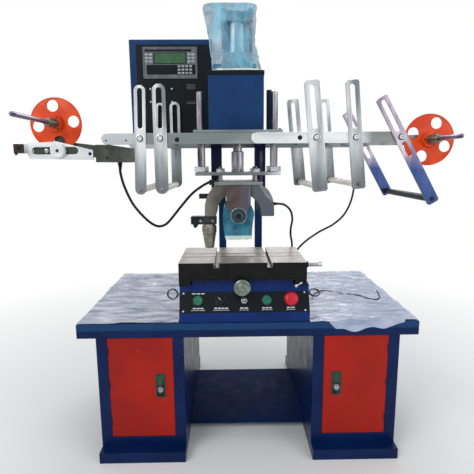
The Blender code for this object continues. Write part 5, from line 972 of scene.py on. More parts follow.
def makeSelector(centre):
    turn = Matrix.Rotation(math.radians(controlLook["selectorTurn"]), 4, "Z")
    axes = Matrix((Vector((1, 0, 0)), upSlope, offSlope)).transposed().to_4x4()
    place = Matrix.Translation(centre) @ (axes @ turn)
    knob = build((addLathe, ((0.0023, 0.0120), (0.0023, 0.0164), (0.0050, 0.0164), (0.0090, 0.0150),
        (0.0120, 0.0146), (0.0124, 0.0134)), centre, offSlope, 48))
    grip = build((addBox, (-0.0040, -0.0145, 0.0110), (0.0040, 0.0145, 0.0205)))
    mark = build((addBox, (-0.0009, 0.0010, 0.0202), (0.0009, 0.0138, 0.0209)))
    for shape in (grip, mark):
        bmesh.ops.transform(shape, matrix=place, verts=shape.verts)
    body = joinSolids(looseSolid("selectorBody", knob), [looseSolid("grip", grip)])
    finishPiece(body, "plasticBlack", "selector_knob", 0.0010, True)
    finishPiece(looseSolid("selectorMark", mark), "knobWhite", "selector_knob", 0.0002)


def makeMarks():
    marks = bmesh.new()
    for x, share, half, tall, pieces in markRows:
        width = 2 * half / (pieces + 0.25 * (pieces - 1))
        for k in range(pieces):
            start = x - half + k * width * 1.25
            low = [onSlope(across, share + part * tall / 2, 0.0019)
                for across, part in ((start, -1), (start + width, -1), (start + width, 1), (start, 1))]
            bottom = [marks.verts.new(point) for point in low]
            top = [marks.verts.new(point + offSlope * 0.0003) for point in low]
            marks.faces.new(bottom)
            marks.faces.new(top)
            bridge(marks, [bottom, top], (0, 1, 2, 3))
    finishPiece(looseSolid("panelMarks", marks), "markPale", "console_panel")


tableLook = dict(screw=(0.2205, -0.200, 0.7326), wheel=(-0.024, -0.330, 0.690), knurls=120,
    leverFoot=(0.1800, -0.3580, 0.6880), leverTip=(0.1985, -0.3600, 0.7000))


def knurl(share, along):
    high = 0.014 if int(share * tableLook["knurls"]) % 2 else 0.0
    return 1.0 + (high if 0.0458 < along < 0.0572 else 0.0)


def makeTable():
    dressNodes(saddle_block=("blackSteel", 0.0012), worktable=("tableSteel", 0.0008))
    screw = tableLook["screw"]
    makePiece("feedScrewShaft", "chrome", "feed_screw", (addLathe,
        ((-0.006, 0.0090), (0.0345, 0.0090), (0.0345, 0.0084), (0.0370, 0.0084), (0.0372, 0.0090),
        (0.060, 0.0090), (0.061, 0.0080), (0.064, 0.0080), (0.065, 0.0090), (0.0860, 0.0090),
        (0.0879, 0.0076)), screw, toRight, 48), replaces=True)
    makePiece("feedScrewNut", "chrome", "feed_screw", (addLathe, ((0.0025, 0.0112), (0.0035, 0.0122),
        (0.0150, 0.0122), (0.0160, 0.0112)), screw, toRight, 6), bevel=0.0006)
    makePiece("feedScrewBand", "plasticBlack", "feed_screw", (addCollar, 0.0088, 0.0125, 0.0182, 0.0320,
        screw, toRight, 48), bevel=0.0010)
    makePiece("handwheelDisc", "wheelSteel", "handwheel", (addLathe,
        ((-0.004, 0.0060), (0.0364, 0.0060), (0.0364, 0.0095), (0.0455, 0.0122), (0.0460, 0.0300),
        (0.0464, 0.0306), (0.0566, 0.0306), (0.0572, 0.0300), (0.0580, 0.0288), (0.0576, 0.0244),
        (0.0566, 0.0232), (0.0566, 0.0142), (0.0572, 0.0132), (0.0580, 0.0120), (0.0580, 0.0085),
        (0.0570, 0.0070), (0.0570, 0.0040)), tableLook["wheel"], toFront, tableLook["knurls"], knurl),
        replaces=True)
    foot = Vector(tableLook["leverFoot"])
    reach = Vector(tableLook["leverTip"]) - foot
    long = reach.length
    makePiece("saddleLever", "chrome", "saddle_block", (addLathe,
        ((0.0, 0.0030), (long - 0.006, 0.0026), (long - 0.005, 0.0042), (long, 0.0048),
        (long + 0.004, 0.0036)), foot, reach, 20), (addLathe, ((0.0, 0.0062), (0.0090, 0.0062),
        (0.0100, 0.0052)), foot + Vector((0.0, 0.0085, 0.0)), toFront, 24))


makeConsole()
makeControls()
makeTable()
print("console and table made")


# column, head, cabinet and cylinder

headLook = dict(x=-0.034, y=-0.170, rods=0.144, plateTop=1.2635, lidLow=1.4640, lidHigh=1.4806,
    housing=(-0.143, 0.0642, -0.250), scale=(0.0765, 0.0501, 0.990, 0.0026, 80))


def dressHead():
    dressNodes(column_frame=("navyPost", 0.0015), head_plate=("flangeSteel", 0.0012),
        head_housing=("housingBlue", 0.0020))
    top, y = headLook["plateTop"], headLook["y"]
    rods = (headLook["x"] - headLook["rods"], headLook["x"] + headLook["rods"])
    x0, x1, y0 = headLook["housing"]
    makePiece("headLid", "panelBlack", "head_housing", (addBox, (x0 - 0.0016, y0 - 0.0018,
        headLook["lidLow"]), (x1 + 0.0016, 0.2385, headLook["lidHigh"])), bevel=0.0014)
    makePiece("guideBushes", "darkSteel", "head_plate", *[(addCollar, 0.0164, 0.0190, 0.0, 0.0080,
        (x, y, top), toTop, 48) for x in rods], bevel=0.0008)
    makePiece("rearDuct", "navyPost", "column_frame", (addBox, (0.1030, 0.080, top),
        (0.1250, 0.113, 1.4650)), bevel=0.003)
    # a ribbed strip up the right post's front; its pale steel is a painted highlight stripe along the post
    x, front, low, pitch, count = headLook["scale"]
    repeatPiece("sleeveScale", "spindleSteel", "column_frame", [(x, front, low + pitch * k)
        for k in range(count)], toFront, (addBox, (-0.0065, -0.0006, 0.0), (0.0065, 0.0006, 0.0007)))
    spots = [(x, y + dy, top + 0.0002) for x in rods for dy in (-0.026, 0.026)]
    spots += [(x, y, top + 0.0002) for x in (-0.188, 0.120) for y in (-0.285, -0.05, 0.12, 0.235)]
    repeatPiece("headPlateScrews", "darkSteel", "head_plate", spots, toTop,
        (addSocketScrew, 0.0056, 0.0050, 0.0028))
    seams = [(x0 + 0.012, y0 - 0.0003, z) for z in (1.285, 1.455)]
    repeatPiece("housingScrews", "darkSteel", "head_housing", seams, toFront, (addPanHead, 0.0030, 0.0012))


cabinetLook = dict(left=-0.518, right=-0.1433, front=0.160, rear=0.340, bottom=1.2638, top=1.698,
    panel=(0.031, 0.004, 0.022, 0.024), display=(-0.4563, 0.2466, 1.5272, 0.1368))
# each plate of the display: its finish, its left, right, upper and lower share, how far it stands out
# and its rounded edge
displayParts = {
    "displayStrip": ("panelBlack", (0.04, 0.90, 0.075, 0.145), 0.0005, 0.0003),
    "displaySurround": ("plasticBlack", (0.195, 0.805, 0.170, 0.530), 0.0007, 0.0004),
    "displayGlass": ("glassGreen", (0.217, 0.785, 0.195, 0.505), 0.0011, 0.0003),
    "keypadPlate": ("panelBlack", (0.065, 0.965, 0.560, 0.870), 0.0007, 0.0005),
}
displayRims = ((0.0, 1.0, 0.0, 0.035), (0.0, 1.0, 0.965, 1.0), (0.0, 0.018, 0.035, 0.965),
    (0.982, 1.0, 0.035, 0.965))


def dressCabinet():
    dressNodes(control_cabinet=("housingBlue", 0.0030), display_unit=("frameGrey", 0.0010))
    left, right, front, rear, bottom, top = (cabinetLook[key] for key in ("left", "right", "front", "rear",
        "bottom", "top"))
    rimLeft, rimRight, rimTop, rimBottom = cabinetLook["panel"]
    makePiece("cabinetFacePlate", "panelBlack", "control_cabinet",
        (addBox, (left + rimLeft, front - 0.0024, bottom + rimBottom),
        (right - rimRight, front - 0.0002, top - rimTop)), bevel=0.0008)
    makeDisplay()
    lamps = [(x, z) for x in (-0.4265, -0.3285) for z in (1.4815, 1.4245)]
    repeatPiece("panelLamps", "plasticBlack", "control_cabinet", [(x, front - 0.0024, z) for x, z in lamps],
        toFront, (addLathe, ((0.0, 0.0085), (0.0030, 0.0085), (0.0036, 0.0078), (0.0036, 0.0062),
        (0.0060, 0.0060), (0.0085, 0.0044), (0.0092, 0.0015)), origin, toTop, 32))
    # pale dots on the lamp buttons are painted highlights
    repeatPiece("lampCaps", "markPale", "control_cabinet", [(x, front - 0.0110, z) for x, z in lamps],
        toFront, (addLathe, ((0.0, 0.0040), (0.0010, 0.0040), (0.0014, 0.0030)), origin, toTop, 24))
    spots = [(-0.2410, front - 0.0022, z) for z in (1.5010, 1.4950, 1.4890, 1.4830, 1.4240, 1.4180)]
    repeatPiece("panelBars", "frameGrey", "control_cabinet", spots, toFront,
        (addBox, (-0.0200, -0.0012, 0.0), (0.0200, 0.0012, 0.0008)))
    # rear door, its screws and louvres
    makePiece("cabinetRearDoor", "housingBlue", "control_cabinet",
        (addBox, (left + 0.014, rear + 0.0002, bottom + 0.014), (right - 0.014, rear + 0.0022,
        top - 0.014)), bevel=0.0008)
    spots = [(x, rear + 0.0021, 1.350 + 0.013 * k) for x in (-0.430, -0.240) for k in range(7)]
    repeatPiece("cabinetLouvres", "housingBlue", "control_cabinet", spots, toRear,
        (addPrism, ((-0.0040, 0.0), (0.0040, 0.0), (0.0010, 0.0038)), "X", -0.050, 0.050))
    spots = [(x, rear + 0.0021, z) for x in (left + 0.024, right - 0.024) for z in (1.293, 1.484, 1.674)]
    repeatPiece("cabinetScrews", "chrome", "control_cabinet", spots, toRear, (addPanHead, 0.0042, 0.0017))
    spots = [(x, 0.2603, z) for x in (-0.131, 0.052) for z in (1.285, 1.440, 1.597)]
    repeatPiece("housingRearScrews", "chrome", "head_housing", spots, toRear, (addPanHead, 0.0042, 0.0017))


def makeDisplay():
    x0, wide, z0, tall = cabinetLook["display"]
    face = cabinetLook["front"] - 0.0063

    def plate(shares, proud):
        a, b, c, d = shares
        low = (x0 + wide * a, face - proud, z0 + tall * (1 - d))
        return addBox, low, (x0 + wide * b, face + 0.0004, z0 + tall * (1 - c))

    for name, (finish, shares, proud, bevel) in displayParts.items():
        makePiece(name, finish, "display_unit", plate(shares, proud), bevel=bevel)
    makePiece("displayFrame", "frameGrey", "display_unit", *[plate(shares, 0.0020)
        for shares in displayRims], bevel=0.0005)
    spots = [(x0 + wide * (0.664 + 0.071 * c), face - 0.0006, z0 + tall * (1 - 0.610 - 0.105 * r))
        for c in range(4) for r in range(3)]
    repeatPiece("keypadKeys", "keyPale", "display_unit", spots, toFront,
        (addBox, (-0.0062, -0.0040, 0.0), (0.0062, 0.0040, 0.0012)))
    spots = [(x0 + wide * x, face - 0.0004, z0 + tall * (1 - z)) for x in (0.070, 0.145, 0.850, 0.925)
        for z in (0.235, 0.345, 0.455)]
    repeatPiece("sideKeys", "keyPale", "display_unit", spots, toFront,
        (addBox, (-0.0070, -0.0042, 0.0), (0.0070, 0.0042, 0.0010)))


cylinderLook = dict(x=-0.034, y=-0.170, bottom=1.4808, footTop=1.5478, headLow=1.6548, top=1.6918,
    half=0.060, barrel=0.050, rods=0.0505)


def makeCylinder():
    x, y, bottom, footTop, headLow, top, half, barrel, rods = cylinderLook.values()
    makePiece("cylinderCaps", "brushedAlu", "press_cylinder", (addBox, (x - half, y - half, bottom),
        (x + half, y + half, footTop)), (addBox, (x - half, y - half, headLow), (x + half, y + half, top)),
        bevel=0.004, replaces=True)
    makePiece("cylinderBarrel", "plateAlu", "press_cylinder", (addLathe,
        ((-0.001, barrel), (headLow - footTop + 0.001, barrel)), (x, y, footTop), toTop, 72))
    spots = [(x + a * rods, y + b * rods, 0.0) for a in (-1, 1) for b in (-1, 1)]
    repeatPiece("cylinderTieRods", "rodSteel", "press_cylinder", spots, toTop,
        (addLathe, ((footTop, 0.0058), (headLow, 0.0058)), origin, toTop, 20),
        (addLathe, ((top - 0.0005, 0.0100), (top + 0.0070, 0.0100), (top + 0.0080, 0.0088)), origin, toTop,
        6))
    port = ((0.0, 0.0125), (0.0040, 0.0125), (0.0045, 0.0095), (0.012, 0.0090))
    makePiece("cylinderPorts", "darkSteel", "press_cylinder", *[(addLathe, port, (x + 0.018, y - half, z),
        toFront, 24) for z in (1.514, 1.672)], bevel=0.0005)


bagLook = dict(x=-0.034, y=-0.170, topX=-0.0595, bottom=1.4812, height=0.2284, half=0.0967, depth=0.083,
    corner=0.45, around=144, up=72, inRings=7, hemPoints=96, hemLow=1.4809, hemHigh=1.4862,
    rings=((0.0, 0.0, 0.0967), (0.20, -0.008, 0.092), (0.45, -0.016, 0.0895), (0.75, -0.021, 0.096),
    (0.93, -0.0255, 0.1010), (1.0, -0.0255, 0.1032)))


def bagRing(share):
    rings = bagLook["rings"]
    for (a, shiftA, halfA), (b, shiftB, halfB) in zip(rings, rings[1:]):
        if share <= b:
            t = (share - a) / (b - a)
            t = t * t * (3 - 2 * t)
            return shiftA + (shiftB - shiftA) * t, halfA + (halfB - halfA) * t
    return rings[-1][1], rings[-1][2]


def squared(value):
    # a circle's sine or cosine, drawn out to that of a square with soft corners
    return math.copysign(abs(value) ** bagLook["corner"], value)


def makeBag():
    # a loft that sags into long folds, its mouth down on the lid and its gathered top open to the light
    facts = bagLook
    shape = bmesh.new()
    rows = []
    for j in range(facts["up"] + 1):
        share = j / facts["up"]
        shift, half = bagRing(share)
        rows.append([])
        for k in range(facts["around"]):
            angle = 2 * math.pi * k / facts["around"]
            c, s = math.cos(angle), math.sin(angle)
            fold = noise.noise(Vector((c * 3.6, s * 3.6, share * 2.2 + 4.0)))
            pleat = 1.0 - abs(noise.noise(Vector((c * 7.5 + share * 1.6, s * 7.5, share * 4.4 + 1.0))))
            loose = 0.35 + 0.65 * math.sin(math.pi * min(1.0, share * 1.15))
            inward = 0.0052 * loose * (0.5 + fold) + 0.0050 * loose * max(0.0, pleat) ** 5
            inward = max(0.0, min(inward, half - 0.0880)) + 0.0004
            x = facts["x"] + shift + (half - inward) * squared(c)
            y = facts["y"] + (facts["depth"] * half / facts["half"] - inward) * squared(s)
            z = facts["bottom"] + share * facts["height"]
            if share > 0.96:
                z -= 0.002 * (0.5 + 0.5 * noise.noise(Vector((c * 5, s * 5, 2.0))))
            rows[-1].append(shape.verts.new((x, y, z)))
    last = rows[-1]
    centre = Vector((facts["topX"], facts["y"], 0.0))
    for ring in range(1, facts["inRings"]):
        pull = 1.0 - ring / facts["inRings"]
        rows.append([])
        for vert in last:
            place = centre + (Vector((vert.co.x, vert.co.y, 0.0)) - centre) * pull
            ripple = noise.noise(Vector((place.x * 60, place.y * 60, ring * 0.4)))
            sag = 0.010 * math.sin(math.pi * (1 - pull) * 0.5) + 0.004 * ripple
            rows[-1].append(shape.verts.new((place.x, place.y, vert.co.z - sag - 0.001)))
    bridge(shape, rows, (0, 1, 2, 3))
    shape.faces.new(rows[-1])
    makeSkin("bagSkin", "bagFilm", "cylinder_bag", shape)
    makeHem()


def makeHem():
    x0, y0, count = bagLook["x"], bagLook["y"], bagLook["hemPoints"]
    half, deep = bagRing(0.0)[1] + 0.0004, bagLook["depth"] + 0.0004
    outer = []
    for k in range(count):
        angle = 2 * math.pi * k / count
        outer.append((x0 + half * squared(math.cos(angle)), y0 + deep * squared(math.sin(angle))))
    inner = [(x0 + (x - x0) * 0.985, y0 + (y - y0) * 0.985) for x, y in outer]
    high = [bagLook["hemHigh"] + 0.0008 * math.sin(k * 0.7) for k in range(count)]
    hem = bmesh.new()
    rings = []
    for points, heights in ((outer, [bagLook["hemLow"]] * count), (outer, high), (inner, high),
            (inner, [bagLook["hemLow"]] * count)):
        rings.append([hem.verts.new((x, y, z)) for (x, y), z in zip(points, heights)])
    bridge(hem, rings, (0, 1, 2, 3), closed=True)
    finishPiece(looseSolid("bagHem", hem), "knobWhite", "cylinder_bag")


dressHead()
dressCabinet()
makeCylinder()
makeBag()
print("head dressed")


# press carriage

carriageLook = dict(x=-0.034, y=-0.170, plateLow=1.097, plateTop=1.109, rodTop=1.416, spacing=0.144,
    studX=0.068, studY=0.065, flangeTop=1.0745, flangeLow=1.0625, rollerZ=0.950)
hoodLook = dict(x=-0.0305, half=0.1308, rise=0.128, power=2 / 2.8, inner=0.0845, front=-0.3078,
    rear=-0.0452)


def makeRods():
    centre, y, low, top, rodTop = (carriageLook[key] for key in ("x", "y", "plateLow", "plateTop",
        "rodTop"))
    base = top + 0.0004
    for side, label in ((-1, "left"), (1, "right")):
        foot, slot = (centre + side * carriageLook["spacing"], y, 0.0), "guide_rod_" + label
        makePiece("guideRodShaft_" + label, "rodSteel", slot, (addLathe,
            ((low - 0.0001, 0.0094), (top + 0.0003, 0.0094), (top + 0.0003, 0.0154),
            (rodTop - 0.0015, 0.0154), (rodTop, 0.0140)), foot, toTop, 48), replaces=True)
        makePiece("rodCollar_" + label, "chrome", slot, (addLathe,
            ((base, 0.0278), (base + 0.0012, 0.0290), (base + 0.0198, 0.0290), (base + 0.0216, 0.0270),
            (base + 0.0216, 0.0160)), foot, toTop, 6), bevel=0.0008)
    makePiece("pistonShaft", "rodSteel", "piston_rod", (addLathe,
        ((low, 0.0094), (base, 0.0094), (base, 0.0246), (base + 0.010, 0.0248), (base + 0.011, 0.0236),
        (base + 0.020, 0.0236), (base + 0.021, 0.0248), (base + 0.0775, 0.0248), (base + 0.0798, 0.0228),
        (base + 0.0798, 0.0179), (1.5550, 0.0179)), (centre, y, 0.0), toTop, 64), replaces=True)


def hoodOutline():
    x0, z0, foot = carriageLook["x"], carriageLook["rollerZ"], carriageLook["rollerZ"] - 0.004
    hoodX, half, inner = hoodLook["x"], hoodLook["half"], hoodLook["inner"]
    outline = [(hoodX + half, foot)]
    for k in range(61):
        angle = math.pi * k / 60
        c, s = math.cos(angle), math.sin(angle)
        outline.append((hoodX + half * math.copysign(abs(c) ** hoodLook["power"], c),
            min(z0 + hoodLook["rise"] * abs(s) ** hoodLook["power"], carriageLook["flangeLow"] + 0.004)))
    outline += [(hoodX - half, foot), (x0 - inner, foot)]
    outline += arcPoints(x0, z0, inner, 180, 0, 48) + [(x0 + inner, foot)]
    cleaned = outline[:1]
    for point in outline[1:]:
        if math.dist(point, cleaned[-1]) > 0.0004:
            cleaned.append(point)
    return cleaned


def makeHood():
    x0, z0, flangeLow, flangeTop = (carriageLook[key] for key in ("x", "rollerZ", "flangeLow", "flangeTop"))
    hoodX, half = hoodLook["x"], hoodLook["half"]
    makePiece("hoodArch", "hoodCasting", "heating_hood", (addPrism, hoodOutline(), "Y", hoodLook["front"],
        hoodLook["rear"]), bevel=0.0035, replaces=True)
    makePiece("hoodFlange", "flangeSteel", "heating_hood", (addBox, (x0 - 0.0905, -0.312, flangeLow),
        (x0 + 0.0905, -0.041, flangeTop)), bevel=0.0016)
    ribs = []
    for y in (-0.262, -0.178, -0.094):
        for side in (-1, 1):
            base = hoodX + side * (half - 0.0010)
            ribs.append((addBox, (min(base, base + side * 0.0016), y - 0.004, z0 - 0.002),
                (max(base, base + side * 0.0016), y + 0.004, z0 + 0.040)))
    makePiece("hoodRibs", "hoodCasting", "heating_hood", *ribs, bevel=0.0006)
    makeShoulder(z0)
    makePiece("hoodPlugs", "plasticBlack", "heating_hood", (addBox, (-0.1815, -0.3020, 1.0130),
        (-0.1450, -0.2780, 1.0310)), (addBox, (-0.1420, -0.3135, 1.0640), (-0.1230, -0.2900, 1.0830)),
        bevel=0.0012)
    top = carriageLook["plateTop"]
    spots = [(x0 + a * carriageLook["studX"], carriageLook["y"] + b * carriageLook["studY"], 0.0)
        for a in (-1, 1) for b in (-1, 1)]
    repeatPiece("hoodStuds", "rodSteel", "heating_hood", spots, toTop,
        (addLathe, ((flangeTop - 0.002, 0.0059), (top + 0.002, 0.0059)), origin, toTop, 20))
    repeatPiece("hoodNuts", "chrome", "heating_hood", [(*spot[:2], top + 0.0014) for spot in spots], toTop,
        (addHexNut, 0.0162, 0.0118, 0.0058, 0.0078))
    makePiece("hoodGland", "plasticBlack", "heating_hood", (addLathe,
        ((-0.004, 0.0100), (0.0040, 0.0100), (0.0045, 0.0085), (0.0079, 0.0070)),
        (hoodX + half, -0.150, 0.978), toRight, 24), bevel=0.0004)
    dressNodes(carriage_plate=("carriageSteel", 0.0010))


def makeShoulder(z0):
    # painted highlight: the lit chamfer of the hood's right shoulder, drawn as a lighter flat strip on the
    # hood's front
    hoodX, half, rise, power = (hoodLook[key] for key in ("x", "half", "rise", "power"))
    bevel = bmesh.new()
    rims = []
    for k in range(25):
        angle = math.radians(17 + 45 * k / 24)
        c, s = math.cos(angle) ** power, math.sin(angle) ** power
        wide = 0.018 * min(1.0, 0.35 + k / 10, 0.35 + (24 - k) / 10)
        near = (hoodX + (half - 0.0012) * c, z0 + (rise - 0.0012) * s)
        deep = (hoodX + (half - wide) * c, z0 + (rise - wide) * s)
        rims.append([bevel.verts.new((p[0], y, p[1])) for p, y in ((near, -0.3088), (deep, -0.3088),
            (deep, -0.3070), (near, -0.3070))])
    bridge(bevel, rims, (0, 1, 2, 3))
    bevel.faces.new(rims[0])
    bevel.faces.new(rims[-1])
    finishPiece(looseSolid("hoodShoulder", bevel), "hoodBevel", "heating_hood", 0.0003)


def makeBearings():
    x0, z0 = carriageLook["x"], carriageLook["rollerZ"]
    for label, outer, way in (("front", -0.3205, toFront), ("rear", -0.0325, toRear)):
        slot = "bearing_plate_" + label
        dressNodes(**{slot: ("bearingPlate", 0.0012)})
        makePiece("bearingRings_" + label, "chrome", slot, (addCollar, 0.0282, 0.0300, 0.0, 0.0016,
            (x0, outer, z0), way), bevel=0.0003)
        makePiece("bearingSeal_" + label, "bossTeal", slot, (addCollar, 0.0124, 0.0282, 0.0, 0.0010,
            (x0, outer, z0), way), bevel=0.0003)
        spots = [(x0 + dx, outer, z) for dx in (-0.034, 0.034) for z in (1.004, 1.050)]
        repeatPiece("plateScrews_" + label, "bearingPlate", slot, spots, way,
            (addSocketScrew, 0.0040, 0.0016, 0.0022))
    # a painted highlight: a pale strip along the right edge of the front bearing plate
    makePiece("plateEdges", "hoodBevel", "bearing_plate_front", (addBox, (0.0042, -0.3210, 0.992),
        (0.0064, -0.3198, 1.0615)), bevel=0.0004)


def makeRoller():
    x0, z0 = carriageLook["x"], carriageLook["rollerZ"]
    makePiece("rollerCover", "siliconeTeal", "press_roller", (addLathe,
        ((0.0, 0.040), (0.0005, 0.0550), (0.0030, 0.0578), (0.2360, 0.0578), (0.2422, 0.0570),
        (0.2450, 0.0550), (0.2455, 0.040)), (x0, -0.2995, z0), toRear, 96), replaces=True)
    makePiece("rollerShaft", "rodSteel", "press_roller", (addLathe,
        ((0.0, 0.0070), (0.0, 0.0105), (0.0012, 0.0118), (0.2905, 0.0118), (0.2917, 0.0105)),
        (x0, -0.3223, z0), toRear, 48), (addLathe, ((0.0, 0.030), (0.0010, 0.040)), (x0, -0.3001, z0),
        toRear, 64))
    # a flat black disc for the shaft end's socket: painted shade
    makePiece("rollerSocket", "plasticBlack", "press_roller", (addLathe, ((0.0, 0.0100), (0.0008, 0.0108)),
        (x0, -0.3228, z0), toRear, 40))


wrapLook = dict(reach=0.0591, drop=0.0925, foot=0.050, front=-0.2990, long=0.2448, columns=48,
    flapY=-0.3012, flapSteps=14, shaft=0.0130)


def wrapPath(x0, z0):
    # round the roller's top, then straight down to a soft flat fold
    reach, drop, foot = wrapLook["reach"], wrapLook["drop"], wrapLook["foot"]
    path = arcPoints(x0, z0, reach, 0, 180, 56)
    path += [(x0 - reach + (reach - foot) * (k / 20) * (k / 20), z0 - drop * (k / 20))
        for k in range(1, 21)]
    for k in range(1, 24):
        t = k / 24
        low = z0 - drop - 0.0016 * math.sin(math.pi * t) + 0.0010 * math.sin(t * 21)
        path.append((x0 - foot + 2 * foot * t, low))
    path += [(x0 + foot + (reach - foot) * (k / 20) * (k / 20), z0 - drop * (1 - k / 20))
        for k in range(20)]
    return path


def makeWrap():
    # the film once round the roller, and its front flap with a hole for the shaft
    x0, z0 = carriageLook["x"], carriageLook["rollerZ"]
    path = wrapPath(x0, z0)
    shape = bmesh.new()
    rows = []
    for j in range(wrapLook["columns"] + 1):
        y = wrapLook["front"] + wrapLook["long"] * (j / wrapLook["columns"])
        rows.append([])
        for px, pz in path:
            below = max(0.0, (z0 - 0.01 - pz) / wrapLook["drop"])
            ripple = noise.noise(Vector((px * 22, y * 34, pz * 12)))
            crease = 1.0 - abs(noise.noise(Vector((px * 30 + 3, y * 60, pz * 30))))
            push = below * (0.0020 * ripple + 0.0012 * crease ** 5)
            out = Vector((px - x0, 0.0, pz - z0)).normalized()
            rows[-1].append(shape.verts.new(Vector((px, y, pz)) + out * max(-0.0006, push)))
    bridge(shape, rows, (0, 3, 2, 1))
    wrap = makeSkin("wrapSheet", "wrapFilm", "roller_wrap", shape, True)
    shape = bmesh.new()
    rows = []
    for j in range(wrapLook["flapSteps"] + 1):
        share = j / wrapLook["flapSteps"]
        rows.append([])
        for px, pz in path:
            out = Vector((px - x0, 0.0, pz - z0))
            spot = (out.normalized() * wrapLook["shaft"]).lerp(out * 0.997, share)
            fold = noise.noise(Vector((spot.x * 34, 2.0, spot.z * 16)))
            y = wrapLook["flapY"] - 0.0016 * max(-0.25, fold) * math.sin(math.pi * min(1.0, share * 1.05))
            rows[-1].append(shape.verts.new((x0 + spot.x, y, z0 + spot.z)))
    bridge(shape, rows, (0, 1, 2, 3))
    flap = makeSkin("wrapFront", "wrapFilm", "roller_wrap", shape, True, False)


nozzleLook = dict(x=-0.146, y=-0.281, top=0.9455, clampLow=0.9150, clampX=(-0.2148, -0.1172),
    screwX=(-0.178, -0.132))


def makeNozzle():
    y, low = nozzleLook["y"], nozzleLook["clampLow"]
    left, right = nozzleLook["clampX"]
    makePiece("nozzleClamp", "darkSteel", "hot_air_nozzle", (addBox, (left, y - 0.0185, low),
        (right, y + 0.0185, nozzleLook["top"])), bevel=0.0035, replaces=True)
    makePiece("nozzleCone", "nozzleGrey", "hot_air_nozzle", (addLathe,
        ((0.0, 0.022), (0.006, 0.0235), (0.0065, 0.0272), (0.010, 0.0278), (0.030, 0.0278),
        (0.0335, 0.0268), (0.0345, 0.0240), (0.0375, 0.0240), (0.0385, 0.0262), (0.0405, 0.0262),
        (0.0420, 0.0245), (0.0880, 0.0176), (0.0915, 0.0172), (0.0923, 0.0150), (0.0880, 0.0128)),
        (nozzleLook["x"], y, low + 0.0005), toFloor, 64))
    strap = ((-0.2150, 0.9450), (-0.1780, 0.9450), (-0.1800, 0.9260), (-0.1930, 0.9035), (-0.2030, 0.9035))
    makePiece("nozzleStrap", "plasticBlack", "hot_air_nozzle", (addPrism, strap, "Y", y - 0.0215,
        y - 0.0180), bevel=0.0006)
    repeatPiece("clampScrews", "chrome", "hot_air_nozzle", [(x, y - 0.0184, 0.9300)
        for x in nozzleLook["screwX"]], toFront, (addSocketScrew, 0.0050, 0.0046, 0.0026))


makeRods()
makeHood()
makeBearings()
makeRoller()
makeWrap()
makeNozzle()
print("carriage made")


# film beams, guide frames, arms and reels

beamLook = dict(mid=1.2332, front=-0.3049, barFront=-0.3175)
guideFinishes = dict(plate="plateAlu", roller="rollerCream", bolt="rodSteel")
outerFinishes = dict(plate="plateViolet", roller="plasticBlack", bolt="darkSteel")
guideLooks = {
    "left_outer": dict(x=-0.389, tilt=-1.8, below=0.203, front=-0.3133, **guideFinishes),
    "left_inner": dict(x=-0.3163, tilt=0.0, below=0.201, front=-0.3133, **guideFinishes),
    "right_inner": dict(x=0.248, tilt=6.0, below=0.196, front=-0.3256, **guideFinishes),
    "right_middle": dict(x=0.3917, tilt=6.0, below=0.187, front=-0.3256, **guideFinishes),
    "right_outer": dict(x=0.5567, tilt=29.6, below=0.276, front=-0.3256, **outerFinishes),
}


def dressBeams():
    dressNodes(cross_beam_front=("beamGrey", 0.0012), side_bar_right=("sideBar", 0.0012),
        cross_beam_rear=("beamGrey", 0.0012))
    # flat black discs where the beams have bores: painted shade for the dark inside of each bore
    boreShadeDisc = ((0.0, 0.0086), (0.0008, 0.0082))
    front = beamLook["front"]
    holes = [(addLathe, ((0.0, 0.0034), (0.0005, 0.0031)), (x, front, 1.2275), toFront, 20)
        for x in (-0.5143, -0.4417)]
    makePiece("beamPlugs", "plasticBlack", "cross_beam_front", (addLathe, boreShadeDisc, (-0.2567, front, 1.2290),
        toFront, 32), *holes)
    makePiece("barPlug", "plasticBlack", "side_bar_right", (addLathe, boreShadeDisc,
        (0.1902, beamLook["barFront"], beamLook["mid"]), toFront, 32))


